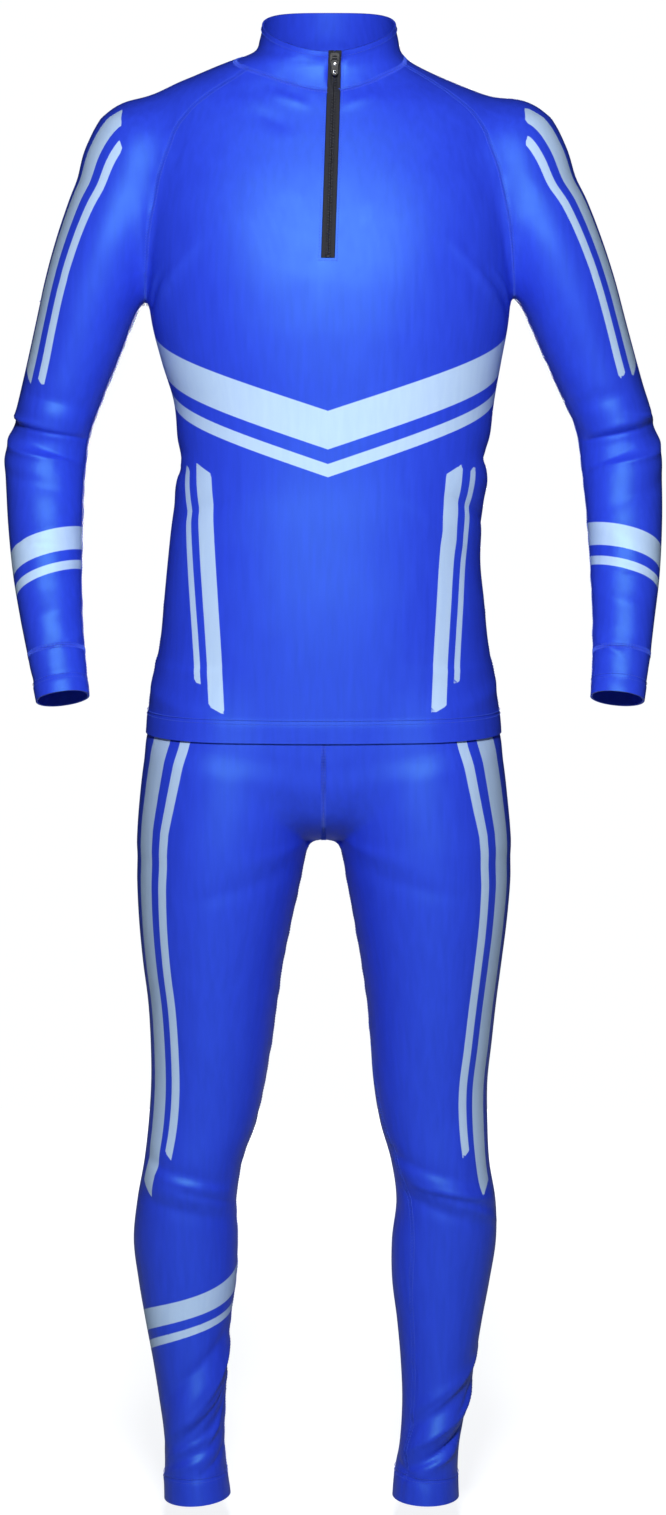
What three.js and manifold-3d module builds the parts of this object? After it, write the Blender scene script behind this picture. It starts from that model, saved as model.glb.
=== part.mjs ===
// Cross-country ski race suit: a close top with a short zip and long tights, in their worn shape.
// Millimetres. +Z is up, +X points to the wearer's left, and the chest faces -Y.
// The origin is the middle of the neck at the base of the collar. "Drop" is how far a place lies below it.
import * as THREE from "three";
import Module from "manifold-3d";

const wasm = await Module();
wasm.setup();

// Driving sizes
const WALL = 1.2;
const SEAM_GAP = 0.3;
const UNDER_TOP = 2.8; // how deep the outside of the tights lies where the top covers them
const HEM_EXTRA = 0.9; // a hem is folded over, so it is thicker
const HEM_HEIGHT = 20;

const NECK = { middle: 0, y: -8, front: -20, rise: 40, side: 13 };
const COLLAR = { height: 38, dip: 4 };
const ZIP = { width: 13.4, chain: 5.5, chainLift: 1.0, topX: 6, topZ: 18, bottomX: -1, bottomDrop: 183 };
const TOP_HEM_DROP = 664;
const WAISTBAND = { drop: 500, height: 28 };
const ANKLE_DROP = 1457;
const KNEE_DROP = 1105;
const ELBOW_DROP = 372;
const LEG_TILT = { turn: 8, rise: 12 }; // how the first rings of a leg lean, in degrees and millimetres
const SLEEVE_TURN = { neck: 72, armpit: 14 }; // how the rows of a sleeve lean, in degrees
const CUFF = { seamDrop: 579, middleDrop: 599, hemDrop: 610, endDrop: 622 };
const SEAM_MIDDLE = 1; // the raglan seams are mirrored about this x
const SIDE_SEAM_Y = 10;
const UNDER_HEM = { start: 4, end: 34 }; // how far below the top's hem the tights come out again
const HEM_STEP = 2; // the height over which a hem thickens

// Places inside the figure from which rows of points are laid out on it
const YOKE_CENTRE_Z = -60;
const SLEEVE_CENTRE = { out: 62, y: 4, z: -66, rise: 14 }; // the last one lies its rise above the armpit
const LEG_CENTRE = { out: 50, y: 5 };
const RAGLAN_CENTRE = { y: 14, z: -150 };
const RISE_CENTRE = { y: 10, below: 90 };
const YOKE_BOW = 1.2; // how far the lowest row of a yoke bows out to the front and back

// How many strips each piece is divided into
const ROWS = { yoke: 12, torso: 15, sleeveEnd: 16, rise: 9, legEnd: 24 };
const COLUMNS = { frontHalf: 10, backHalf: 10, sleeve: 16, leg: 18 };
const TORSO_ASPECT = 1.6; // how much wider than deep the torso is, which spreads its columns evenly

// Level sections of the figure, whose surface is the outside of the cloth. Each row: drop, x of the middle
// line, half width, y of the widest point, y of the front, y of the back, and squareness (2 is an ellipse)
const TORSO = table(["drop", "middle", "half", "widest", "front", "back", "square"], [
  [-80, 0, 62, -15, -77, 46, 2.0],
  [-50, 0, 65, -12, -75, 52, 2.0],
  [-30, 0, 69, -8, -71, 57, 2.0],
  [-18, -1.5, 73.4, -4, -68, 62, 2.0],
  [-10, -9, 88, -2, -67, 66, 1.95],
  [-3, -12, 103, 0, -66, 70, 1.9],
  [5, -13, 121, 2, -67, 75, 1.85],
  [13, -13, 140, 3, -69, 80, 1.85],
  [21, -10, 156, 4, -72, 84, 1.9],
  [30, -7, 167, 5, -76, 88, 2.0],
  [45, -4, 175, 5, -82, 94, 2.1],
  [70, -3, 180, 5, -92, 102, 2.2],
  [110, -2, 184, 3, -106, 110, 2.3],
  [150, -1, 185, 1, -116, 114, 2.35],
  [200, 0, 183, 0, -122, 113, 2.35],
  [248, 1, 179, -2, -122, 107, 2.35],
  [290, 2.5, 170, -4, -119, 99, 2.35],
  [330, 5, 160.5, -6, -115, 91, 2.35],
  [370, 4.5, 156.8, -8, -112, 85, 2.3],
  [410, 2.5, 154, -9, -110, 83, 2.3],
  [450, -2, 156, -7, -110, 86, 2.3],
  [490, -5, 157.5, -4, -110, 94, 2.3],
  [530, -5, 161.5, 0, -110, 104, 2.3],
  [570, -5, 165.5, 3, -109, 113, 2.3],
  [611, -5.5, 172.5, 6, -107, 119, 2.3],
  [652, -5.5, 176.5, 8, -105, 121, 2.3],
  [690, -5.5, 171, 8, -101, 117, 2.3],
  [720, -5.5, 152, 8, -92, 104, 2.2],
  [745, -5.5, 118, 9, -76, 82, 2.1],
  [762, -5.5, 74, 10, -50, 56, 2.0],
  [772, -5.5, 30, 10, -20, 36, 2.0],
]);

// The same for one leg and one arm, with how far their middle lies out from the middle line
const LIMB_COLUMNS = ["drop", "middle", "out", "half", "widest", "front", "back", "square"];
const LEG = table(LIMB_COLUMNS, [
  [600, -5.5, 84, 78, 6, -86, 100, 2.1],
  [652, -5.5, 90, 83, 6, -95, 112, 2.1],
  [690, -5.5, 94, 87.5, 6, -98, 117, 2.1],
  [735, -5.5, 97.5, 89.5, 6, -99, 117, 2.1],
  [774, -5.2, 102.5, 87.5, 6, -98, 110, 2.1],
  [790, -5.2, 104, 85.5, 6, -97, 107, 2.1],
  [815, -5.4, 106.5, 83.2, 5, -95, 102, 2.1],
  [856, -6.2, 109.3, 77.8, 4, -90, 94, 2.1],
  [898, -6.9, 111, 71.6, 3, -84, 86, 2.1],
  [939, -7.0, 111.4, 66, 2, -78, 79, 2.1],
  [980, -8.0, 112, 62, 1, -72, 73, 2.1],
  [1022, -10.0, 113.4, 58.2, 0, -66, 68, 2.1],
  [1063, -11.2, 118, 55, 0, -61, 64, 2.1],
  [1105, -12.6, 126.3, 50.2, 0, -59, 60, 2.1],
  [1146, -13.0, 132.6, 50.8, 2, -54, 63, 2.1],
  [1188, -14.6, 132.4, 53.4, 6, -49, 71, 2.1],
  [1230, -15.4, 130.2, 50.2, 9, -45, 72, 2.1],
  [1272, -15.8, 129.3, 43.8, 9, -41, 65, 2.1],
  [1314, -15.4, 127.4, 38.5, 8, -39, 56, 2.0],
  [1356, -15.6, 125, 34.2, 7, -38, 50, 2.0],
  [1398, -17.4, 121.2, 30.8, 6, -38, 47, 2.0],
  [1436, -18.5, 118.6, 32.4, 6, -40, 48, 2.0],
  [1475, -17.5, 117, 34.6, 6, -43, 52, 2.0],
]);
const ARM = table(LIMB_COLUMNS, [
  [80, -3, 190, 50, 14, -44, 70, 2.0],
  [109, -2, 197, 54.5, 14, -49, 75, 2.05],
  [129, -1, 203, 56.7, 14, -51, 77, 2.1],
  [168, 0, 217, 57, 14, -52, 77, 2.1],
  [208, 1, 232, 54.2, 15, -48, 74, 2.1],
  [249, 2, 247, 49.4, 17, -42, 70, 2.1],
  [289, 3, 260.5, 46, 19, -35, 68, 2.1],
  [329, 4, 274.5, 42.6, 22, -28, 68, 2.1],
  [360, 5, 285, 40.4, 24, -23, 68, 2.1],
  [389, 4.5, 290, 40.6, 19, -25, 62, 2.1],
  [429, 5.5, 291.6, 38.8, 6, -38, 49, 2.1],
  [468, 6.5, 291.3, 36.8, -9, -51, 32, 2.1],
  [507, 7.5, 289.8, 34.2, -25, -63, 12, 2.1],
  [545, 8.5, 286.4, 31.2, -41, -75, -8, 2.1],
  [584, 10, 282, 28.6, -57, -88, -27, 2.1],
  [620, 11, 277, 26.6, -72, -100, -44, 2.1],
  [650, 11.5, 272.5, 25.2, -84, -112, -57, 2.1],
]);
const SHOULDER = { out: 180, y: 13, drop: 85, radii: [55, 60, 57.5] };

// How widely the tubes of the figure melt into each other, and between which drops that changes
const BLENDS = { armpit: 16, shoulder: 24, seat: 24, crotch: 8, hip: 14 };
const BLEND_DROPS = { shoulder: 120, armpit: 200, seat: 735, crotch: 785 };

// How far out from the middle the raglan seams run, on the front and on the back
const RAGLAN = table(["drop", "front", "back"], [
  [-25, 40, 40],
  [-3, 79, 72],
  [30, 129, 108],
  [52, 149.5, 126],
  [75, 159.5, 140],
  [101, 168.5, 152],
  [125, 173.5, 161],
  [157, 179, 170],
  [197, 182.5, 178],
  [230, 184.5, 183.5],
  [270, 185.5, 185.5],
]);

// The largest folds, each along a line on a limb or on the torso. Turn is in degrees around the limb: 0 is
// the front, 90 faces away from the body, and -90 faces it. On the torso 90 is the wearer's left. Height is
// how far the cloth stands out, below 0 in a trough, and width is how wide half of the fold is
const FOLDS = table(["tube", "side", "drop", "turn", "endDrop", "endTurn", "width", "height"], [
  ["arm", -1, 350, 95, 378, -45, 11, -3.0],
  ["arm", -1, 334, 60, 356, -60, 12, 1.8],
  ["arm", -1, 385, 100, 402, -20, 12, 1.8],
  ["arm", 1, 352, 90, 380, -55, 11, -2.8],
  ["arm", 1, 332, 75, 352, -40, 12, 1.6],
  ["arm", 1, 388, 80, 405, -35, 12, 2.0],
  ["arm", -1, 125, -20, 225, -62, 13, 2.6],
  ["arm", -1, 150, -48, 230, -88, 10, -2.2],
  ["arm", 1, 120, -16, 222, -58, 13, 2.4],
  ["arm", 1, 145, -44, 228, -86, 10, -2.4],
  ["arm", -1, 140, -150, 228, -112, 13, 2.4],
  ["arm", 1, 135, -148, 226, -110, 13, 2.6],
  ["arm", -1, 500, -70, 516, 40, 12, -1.6],
  ["arm", 1, 545, -80, 560, 30, 12, -1.6],
  ["torso", 1, 185, -62, 232, -76, 12, 2.2],
  ["torso", 1, 190, 60, 232, 75, 12, 2.0],
  ["torso", 1, 190, 128, 232, 108, 12, 2.2],
  ["torso", 1, 186, -126, 232, -106, 12, 2.0],
  ["torso", 1, 372, 70, 392, 112, 13, -2.2],
  ["torso", 1, 402, 64, 420, 118, 14, 1.8],
  ["torso", 1, 376, -72, 398, -118, 13, -2.0],
  ["torso", 1, 408, -66, 424, -112, 14, 1.6],
  ["leg", 1, 1102, -50, 1150, 60, 13, 2.2],
  ["leg", 1, 1080, 170, 1098, -120, 14, -2.0],
  ["leg", -1, 1118, 55, 1140, -45, 13, 1.6],
  ["leg", -1, 1084, -170, 1100, 125, 14, -2.2],
  ["leg", -1, 1298, -75, 1388, 50, 11, 2.6],
  ["leg", -1, 1352, -80, 1404, 20, 9, -2.0],
  ["leg", 1, 1352, 70, 1412, -60, 11, 2.6],
  ["leg", 1, 1330, 60, 1384, -50, 9, -1.8],
  ["leg", 1, 1396, 165, 1424, -110, 10, 2.0],
  ["leg", -1, 1372, -160, 1410, 110, 10, 2.2],
]);

// A fold fades over its last share at each end, and off its own tube between near and far
const FOLD_FADE = { ends: 0.12, near: 4, far: 16 };
const FOLD_REACH = 60;

// A joint of a limb has its rows closer together, by this much more within about its reach
const BEND = { extra: 0.9, reach: 45 };

const SLIDER = {
  z: 10, width: 9, narrow: 6.4, height: 13, depth: 3.2, corner: 1.5, waist: -1, gap: 0.5,
  ear: 1.3, earHeight: 4, earRoot: 1,
};
const PIN = { radius: 0.8, play: 0.4, ahead: 2.5, above: 1.5, cover: 0.6, bore: 1.2, eye: 2.1, half: 2.2 };
const PULL = { length: 17, half: 3.2, thickness: 1.5, hole: 1.3, top: 1.26, neck: 2.2, slope: 1.4 };
const ROUND_SIDES = { small: 12, large: 20, end: 8 };

const COLOURS = { cloth: 0x2b50dc, trim: 0x2440c4, zip: 0x14161c, slider: 0x2a2d33, pull: 0x1c1e24 };

// Tables

function table(columns, rows) {
  return rows.map((row) => Object.fromEntries(columns.map((name, place) => [name, row[place]])));
}

function mix(a, b, share) {
  return a + (b - a) * share;
}

// The values at a drop, on a smooth curve through the rows
function readTable(rows, drop) {
  const place = Math.min(Math.max(drop, rows[0].drop), rows[rows.length - 1].drop);
  let k = 0;
  while (k < rows.length - 2 && rows[k + 1].drop < place) {
    k += 1;
  }
  const [a, b] = [rows[k], rows[k + 1]];
  const before = rows[Math.max(k - 1, 0)];
  const after = rows[Math.min(k + 2, rows.length - 1)];
  const gap = b.drop - a.drop;
  const t = (place - a.drop) / gap;
  const [t2, t3] = [t * t, t * t * t];
  const made = {};
  for (const name of Object.keys(a)) {
    const startSlope = (b[name] - before[name]) / (b.drop - before.drop);
    const endSlope = (after[name] - a[name]) / (after.drop - a.drop);
    made[name] =
      a[name] * (2 * t3 - 3 * t2 + 1) +
      startSlope * gap * (t3 - 2 * t2 + t) +
      b[name] * (3 * t2 - 2 * t3) +
      endSlope * gap * (t3 - t2);
  }
  return made;
}

// The figure, as a number for each point: below 0 inside, 0 on its surface

const LEVELS = new Map([TORSO, LEG, ARM].map((rows) => [rows, new Map()]));

// The section at a drop, between two whole millimetres that are worked out once
function section(rows, drop) {
  const known = LEVELS.get(rows);
  const low = Math.floor(drop);
  for (const level of [low, low + 1]) {
    if (!known.has(level)) {
      known.set(level, readTable(rows, level));
    }
  }
  const [a, b, t] = [known.get(low), known.get(low + 1), drop - low];
  return {
    x: mix(a.middle, b.middle, t),
    out: rows === TORSO ? 0 : mix(a.out, b.out, t),
    half: mix(a.half, b.half, t),
    y: mix(a.widest, b.widest, t),
    front: mix(a.front, b.front, t),
    back: mix(a.back, b.back, t),
    square: mix(a.square, b.square, t),
  };
}

function tubeValue(rows, side, p) {
  const drop = -p.z;
  const s = section(rows, drop);
  const dx = Math.abs(p.x - s.x - side * s.out);
  const dy = p.y - s.y;
  const reach = dy < 0 ? s.y - s.front : s.back - s.y;
  const share = ((dx / s.half) ** s.square + (Math.abs(dy) / reach) ** s.square) ** (1 / s.square);
  const far = Math.hypot(dx, dy);
  const value = share < 1e-6 ? -s.half : far * (1 - 1 / share);
  return Math.max(value, rows[0].drop - drop, drop - rows[rows.length - 1].drop);
}

function shoulderValue(side, p) {
  const [a, b, c] = SHOULDER.radii;
  const x = p.x - section(ARM, SHOULDER.drop).x - side * SHOULDER.out;
  const y = p.y - SHOULDER.y;
  const z = p.z + SHOULDER.drop;
  const share = Math.hypot(x / a, y / b, z / c);
  const slope = Math.hypot(x / a ** 2, y / b ** 2, z / c ** 2);
  return slope < 1e-9 ? -a : (share * (share - 1)) / slope;
}

function blend(a, b, width) {
  const near = Math.max(width - Math.abs(a - b), 0) / width;
  return Math.min(a, b) - (near * near * width) / 4;
}

function figure(p) {
  const low = smoothStep(BLEND_DROPS.seat, BLEND_DROPS.crotch, -p.z);
  const legBlend = mix(BLENDS.seat, BLENDS.crotch, low);
  const legs = blend(tubeValue(LEG, -1, p), tubeValue(LEG, 1, p), legBlend);
  const body = blend(tubeValue(TORSO, 0, p), legs, BLENDS.hip);
  const side = p.x < 0 ? -1 : 1;
  const arm = Math.min(tubeValue(ARM, side, p), shoulderValue(side, p));
  const high = smoothStep(BLEND_DROPS.armpit, BLEND_DROPS.shoulder, -p.z);
  return blend(body, arm, mix(BLENDS.armpit, BLENDS.shoulder, high));
}

function smoothStep(from, to, value) {
  const share = Math.min(Math.max((value - from) / (to - from), 0), 1);
  return share * share * (3 - 2 * share);
}

function point(x, y, z) {
  return new THREE.Vector3(x, y, z);
}

// The outward direction of the figure's surface at a point
function outward(p) {
  const step = 0.5;
  return point(
    figure(point(p.x + step, p.y, p.z)) - figure(point(p.x - step, p.y, p.z)),
    figure(point(p.x, p.y + step, p.z)) - figure(point(p.x, p.y - step, p.z)),
    figure(point(p.x, p.y, p.z + step)) - figure(point(p.x, p.y, p.z - step)),
  ).normalize();
}

// Where a path that starts inside the figure first leaves it. The path gives a point for each distance
function leave(path) {
  const stride = 4;
  const longest = 400;
  const halvings = 24;
  let far = stride;
  while (figure(path(far)) < 0 && far < longest) {
    far += stride;
  }
  let near = far - stride;
  for (let turn = 0; turn < halvings; turn += 1) {
    const half = (near + far) / 2;
    if (figure(path(half)) < 0) {
      near = half;
    } else {
      far = half;
    }
  }
  return path(far);
}

function hit(from, direction) {
  const unit = direction.clone().normalize();
  return leave((far) => from.clone().addScaledVector(unit, far));
}

// A point of the front surface, straight ahead of a place inside
function frontAt(x, z) {
  return hit(point(x, 0, z), point(0, -1, 0));
}

// Folds

const TUBES = { torso: TORSO, leg: LEG, arm: ARM };

function foldHeight(p) {
  let height = 0;
  for (const fold of FOLDS) {
    const rows = TUBES[fold.tube];
    const middle = (fold.drop + fold.endDrop) / 2;
    if (Math.abs(-p.z - middle) - Math.abs(fold.endDrop - fold.drop) / 2 > FOLD_REACH) {
      continue;
    }
    const off = tubeValue(rows, rows === TORSO ? 0 : fold.side, p);
    const near = 1 - smoothStep(FOLD_FADE.near, FOLD_FADE.far, off);
    if (near > 0) {
      height += near * foldShape(fold, section(rows, -p.z), p);
    }
  }
  return height;
}

function foldShape(fold, s, p) {
  const dx = (p.x - s.x - fold.side * s.out) * fold.side;
  const dy = p.y - s.y;
  const radius = Math.hypot(dx, dy);
  const turn = THREE.MathUtils.radToDeg(Math.atan2(dx, -dy));
  const span = wrapTurn(fold.endTurn - fold.turn);
  const start = wrapTurn(turn - fold.turn - span / 2) + span / 2;
  const perDegree = (radius * Math.PI) / 180;
  const length = [span * perDegree, fold.endDrop - fold.drop];
  const place = [start * perDegree, -p.z - fold.drop];
  const share = (place[0] * length[0] + place[1] * length[1]) / (length[0] ** 2 + length[1] ** 2);
  const held = Math.min(Math.max(share, 0), 1);
  const away = Math.hypot(place[0] - held * length[0], place[1] - held * length[1]);
  const fade = Math.sin(Math.PI * mix(FOLD_FADE.ends, 1 - FOLD_FADE.ends, held));
  return fold.height * fade * Math.exp(-((away / fold.width) ** 2));
}

function wrapTurn(turn) {
  return turn - 360 * Math.round(turn / 360);
}

// Lines of points on the figure

// Points between the stops of a row, turned evenly about a centre inside the figure, which aspect narrows
function rowThrough(centre, stops, counts, aspect = 1) {
  const narrow = (p) => p.clone().sub(centre).divide(point(aspect, 1, 1)).normalize();
  const row = [stops[0]];
  counts.forEach((count, stretch) => {
    const from = narrow(stops[stretch]);
    const to = narrow(stops[stretch + 1]);
    const angle = from.angleTo(to);
    for (let k = 1; k < count; k += 1) {
      const share = k / count;
      const direction = from
        .clone()
        .multiplyScalar(Math.sin((1 - share) * angle))
        .addScaledVector(to, Math.sin(share * angle))
        .multiply(point(aspect, 1, 1));
      row.push(hit(centre, direction));
    }
    row.push(stops[stretch + 1]);
  });
  return row;
}

// The same line with its points evenly spaced
function evenly(line, count) {
  const lengths = [0];
  for (let k = 1; k < line.length; k += 1) {
    lengths.push(lengths[k - 1] + line[k].distanceTo(line[k - 1]));
  }
  const made = [line[0]];
  let k = 1;
  for (let step = 1; step < count; step += 1) {
    const goal = (lengths[lengths.length - 1] * step) / count;
    while (lengths[k] < goal) {
      k += 1;
    }
    made.push(line[k - 1].clone().lerp(line[k], (goal - lengths[k - 1]) / (lengths[k] - lengths[k - 1])));
  }
  made.push(line[line.length - 1]);
  return made;
}

// A seam from a start to the lowest point of a sheet that is given as x for each drop, round a centre
function seamDown(start, sheetX, centre, count) {
  const startTurn = Math.atan2(start.z - centre.z, start.y - centre.y);
  const down = start.y < centre.y ? 1.5 * Math.PI : -0.5 * Math.PI;
  const from = start.y < centre.y && startTurn < 0 ? startTurn + 2 * Math.PI : startTurn;
  const line = [start];
  const steps = 6 * count;
  for (let k = 1; k <= steps; k += 1) {
    const turn = mix(from, down, k / steps);
    line.push(leave((far) => {
      const z = centre.z + far * Math.sin(turn);
      return point(sheetX(-z), centre.y + far * Math.cos(turn), z);
    }));
  }
  return evenly(line, count);
}

// The neckline, at an angle from the front towards the wearer's left
function neckHeight(angle) {
  return NECK.front + (NECK.rise * (1 - Math.cos(angle))) / 2 + NECK.side * Math.sin(angle) ** 2;
}

function neckPoint(angle, lift = 0) {
  const height = COLLAR.height - COLLAR.dip * Math.sin(angle) ** 2;
  const centre = point(NECK.middle, NECK.y, neckHeight(angle) + lift * height);
  return hit(centre, point(Math.sin(angle), -Math.cos(angle), 0));
}

// The angle at which a raglan seam leaves the neckline
function seamAngle(side, part) {
  const margin = 0.1;
  const halvings = 30;
  let low = part === "front" ? margin : Math.PI - margin;
  let high = Math.PI / 2;
  for (let turn = 0; turn < halvings; turn += 1) {
    const half = (low + high) / 2;
    const p = neckPoint(side * half);
    if (side * (p.x - SEAM_MIDDLE) < readTable(RAGLAN, -p.z)[part]) {
      low = half;
    } else {
      high = half;
    }
  }
  return side * low;
}

function raglanSeam(side, part) {
  const sheetX = (drop) => SEAM_MIDDLE + side * readTable(RAGLAN, drop)[part];
  const centre = point(0, RAGLAN_CENTRE.y, RAGLAN_CENTRE.z);
  return seamDown(neckPoint(seamAngle(side, part)), sheetX, centre, ROWS.yoke);
}

function zipX(z) {
  const share = (ZIP.topZ - z) / (ZIP.topZ + ZIP.bottomDrop);
  return mix(ZIP.topX, ZIP.bottomX, Math.min(Math.max(share, 0), 1));
}

// The two edges of the zip's opening at a height
function zipEdges(z) {
  return [-1, 1].map((side) => frontAt(zipX(z) + (side * ZIP.width) / 2, z));
}

function limbAxis(rows, side, drop) {
  const s = section(rows, drop);
  return point(s.x + side * s.out, s.y, -drop);
}

// A closed ring square to a limb's axis, from the side that faces the body round by the front
function limbRing(rows, side, drop, count) {
  const reach = 18;
  const centre = limbAxis(rows, side, drop);
  const axis = limbAxis(rows, side, drop + reach).sub(limbAxis(rows, side, drop - reach)).normalize();
  const inner = point(-side, 0, 0).addScaledVector(axis, side * axis.x).normalize();
  const front = axis.clone().cross(inner);
  if (front.y > 0) {
    front.negate();
  }
  const ring = [];
  for (let k = 0; k < count; k += 1) {
    const turn = (2 * Math.PI * k) / count;
    const direction = inner.clone().multiplyScalar(Math.cos(turn));
    ring.push(hit(centre, direction.addScaledVector(front, Math.sin(turn))));
  }
  ring.push(ring[0]);
  return ring;
}

// The rows of an open yoke between two seams, which narrows into a limb and bows to the front and back
function limbYoke(seams, centres, outerTurns, side, columns) {
  const last = seams[0].length - 1;
  const near = Math.floor(columns / 4);
  const far = columns / 2 - near;
  const rows = [];
  for (let k = 1; k <= last; k += 1) {
    const share = k / last;
    const centre = centres(share);
    const [a, b] = [seams[0][k], seams[1][k]];
    const turn = outerTurns(share);
    const outer = point(side * Math.cos(turn), 0, Math.sin(turn));
    const bow = YOKE_BOW * share * share;
    const quarter = (end, y) => end.clone().sub(centre).normalize().add(outer).add(point(0, y * bow, 0));
    const stops = [a, hit(centre, quarter(a, -1)), hit(centre, outer), hit(centre, quarter(b, 1)), b];
    rows.push(rowThrough(centre, stops, [near, far, far, near]));
  }
  return rows;
}

// Drops from one place to another, closer together where a joint of the limb bends
function limbDrops(from, to, count, bend) {
  const drops = [];
  const weight = (drop) => 1 + BEND.extra * Math.exp(-(((drop - bend) / BEND.reach) ** 2));
  const steps = 400;
  const rounding = 1e-9;
  let total = 0;
  for (let k = 0; k < steps; k += 1) {
    total += weight(mix(from, to, (k + 0.5) / steps));
  }
  let sum = 0;
  for (let k = 0; k < steps; k += 1) {
    sum += weight(mix(from, to, (k + 0.5) / steps));
    while (sum >= (total * (drops.length + 1)) / count - rounding) {
      drops.push(mix(from, to, (k + 1) / steps));
    }
  }
  return drops;
}

// The rows of each piece

const SIDES = [-1, 1];
const frontSeams = SIDES.map((side) => raglanSeam(side, "front"));
const backSeams = SIDES.map((side) => raglanSeam(side, "back"));
backSeams.forEach((seam, index) => seam.splice(ROWS.yoke, 1, frontSeams[index][ROWS.yoke]));
const armpitDrops = frontSeams.map((seam) => -seam[ROWS.yoke].z);
const armpitDrop = (armpitDrops[0] + armpitDrops[1]) / 2;

function sideSeamPoint(side, z) {
  return hit(point(section(TORSO, -z).x, SIDE_SEAM_Y, z), point(side, 0, 0));
}

function torsoDrops() {
  const drops = [];
  for (let k = 1; k < ROWS.torso; k += 1) {
    drops.push(mix(armpitDrop, TOP_HEM_DROP - HEM_HEIGHT, k / (ROWS.torso - 1)));
  }
  return [...drops, TOP_HEM_DROP - HEM_HEIGHT + HEM_STEP, TOP_HEM_DROP];
}

// Where the middle of a yoke row lies: evenly from the neckline, with one row at the foot of the zip
function yokeDrop(row, start) {
  const zipRow = Math.round((ROWS.yoke * (ZIP.bottomDrop - start)) / (armpitDrop - start));
  return row <= zipRow
    ? mix(start, ZIP.bottomDrop, row / zipRow)
    : mix(ZIP.bottomDrop, armpitDrop, (row - zipRow) / (ROWS.yoke - zipRow));
}

function frontRows() {
  const counts = [COLUMNS.frontHalf, 2, COLUMNS.frontHalf];
  const start = -neckHeight(0);
  const rows = [];
  for (let k = 0; k <= ROWS.yoke; k += 1) {
    const z = -yokeDrop(k, start);
    const stops = [frontSeams[0][k], ...zipEdges(z), frontSeams[1][k]];
    const centre = point(0, 0, mix(YOKE_CENTRE_Z, -armpitDrop, k / ROWS.yoke));
    rows.push(k === 0 ? neckRow(...stops) : rowThrough(centre, stops, counts, TORSO_ASPECT));
  }
  for (const drop of torsoDrops()) {
    const centre = point(section(TORSO, drop).x, 0, -drop);
    const stops = [sideSeamPoint(-1, -drop), ...zipEdges(-drop), sideSeamPoint(1, -drop)];
    rows.push(rowThrough(centre, stops, counts, TORSO_ASPECT));
  }
  return rows;
}

// The front's own neckline, from one raglan seam past the zip to the other
function neckRow(left, zipLeft, zipRight, right) {
  const angles = SIDES.map((side) => seamAngle(side, "front"));
  const zipAngle = (p) => Math.atan2(p.x - NECK.middle, NECK.y - p.y);
  const row = [left];
  for (let k = 1; k < COLUMNS.frontHalf; k += 1) {
    row.push(neckPoint(mix(angles[0], zipAngle(zipLeft), k / COLUMNS.frontHalf)));
  }
  row.push(zipLeft, zipLeft.clone().lerp(zipRight, 0.5), zipRight);
  for (let k = 1; k < COLUMNS.frontHalf; k += 1) {
    row.push(neckPoint(mix(zipAngle(zipRight), angles[1], k / COLUMNS.frontHalf)));
  }
  return [...row, right];
}

function backRows() {
  const counts = [COLUMNS.backHalf, COLUMNS.backHalf];
  const start = -neckHeight(Math.PI);
  const rows = [neckArc(seamAngle(-1, "back"), seamAngle(1, "back") - 2 * Math.PI, 2 * COLUMNS.backHalf)];
  rows[0][0] = backSeams[0][0];
  rows[0][2 * COLUMNS.backHalf] = backSeams[1][0];
  for (let k = 1; k <= ROWS.yoke; k += 1) {
    const z = -mix(start, armpitDrop, k / ROWS.yoke);
    const centre = point(0, 0, mix(YOKE_CENTRE_Z, -armpitDrop, k / ROWS.yoke));
    const middle = hit(point(0, 0, z), point(0, 1, 0));
    rows.push(rowThrough(centre, [backSeams[0][k], middle, backSeams[1][k]], counts, TORSO_ASPECT));
  }
  for (const drop of torsoDrops()) {
    const x = section(TORSO, drop).x;
    const middle = hit(point(x, 0, -drop), point(0, 1, 0));
    const stops = [sideSeamPoint(-1, -drop), middle, sideSeamPoint(1, -drop)];
    rows.push(rowThrough(point(x, 0, -drop), stops, counts, TORSO_ASPECT));
  }
  return rows;
}

function neckArc(from, to, count) {
  const row = [];
  for (let k = 0; k <= count; k += 1) {
    row.push(neckPoint(mix(from, to, k / count)));
  }
  return row;
}

function sleeveRows(index) {
  const side = SIDES[index];
  const seams = [frontSeams[index], backSeams[index]];
  const neck = neckArc(seamAngle(side, "front"), seamAngle(side, "back"), COLUMNS.sleeve);
  neck[0] = seams[0][0];
  neck[COLUMNS.sleeve] = seams[1][0];
  const ringDrop = armpitDrop - SLEEVE_CENTRE.rise;
  const from = point(side * SLEEVE_CENTRE.out, SLEEVE_CENTRE.y, SLEEVE_CENTRE.z);
  const to = limbAxis(ARM, side, ringDrop);
  const centres = (share) => from.clone().lerp(to, share);
  const turns = (share) => THREE.MathUtils.degToRad(mix(SLEEVE_TURN.neck, SLEEVE_TURN.armpit, share));
  const rows = [neck, ...limbYoke(seams, centres, turns, side, COLUMNS.sleeve)];
  for (const drop of limbDrops(ringDrop, CUFF.seamDrop, ROWS.sleeveEnd, ELBOW_DROP)) {
    rows.push(limbRing(ARM, side, drop, COLUMNS.sleeve));
  }
  return rows;
}

function cuffRows(index) {
  const rows = [];
  for (const drop of [CUFF.seamDrop, CUFF.middleDrop, CUFF.hemDrop, CUFF.endDrop]) {
    rows.push(limbRing(ARM, SIDES[index], drop, COLUMNS.sleeve));
  }
  return rows;
}

const waistDrop = WAISTBAND.drop + WAISTBAND.height;

function riseSeam(direction) {
  const centre = point(section(TORSO, waistDrop).x, 0, -waistDrop);
  const start = hit(centre, point(0, direction, 0));
  const sheetX = (drop) => section(TORSO, drop).x;
  return seamDown(start, sheetX, point(0, RISE_CENTRE.y, -waistDrop - RISE_CENTRE.below), ROWS.rise);
}

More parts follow.
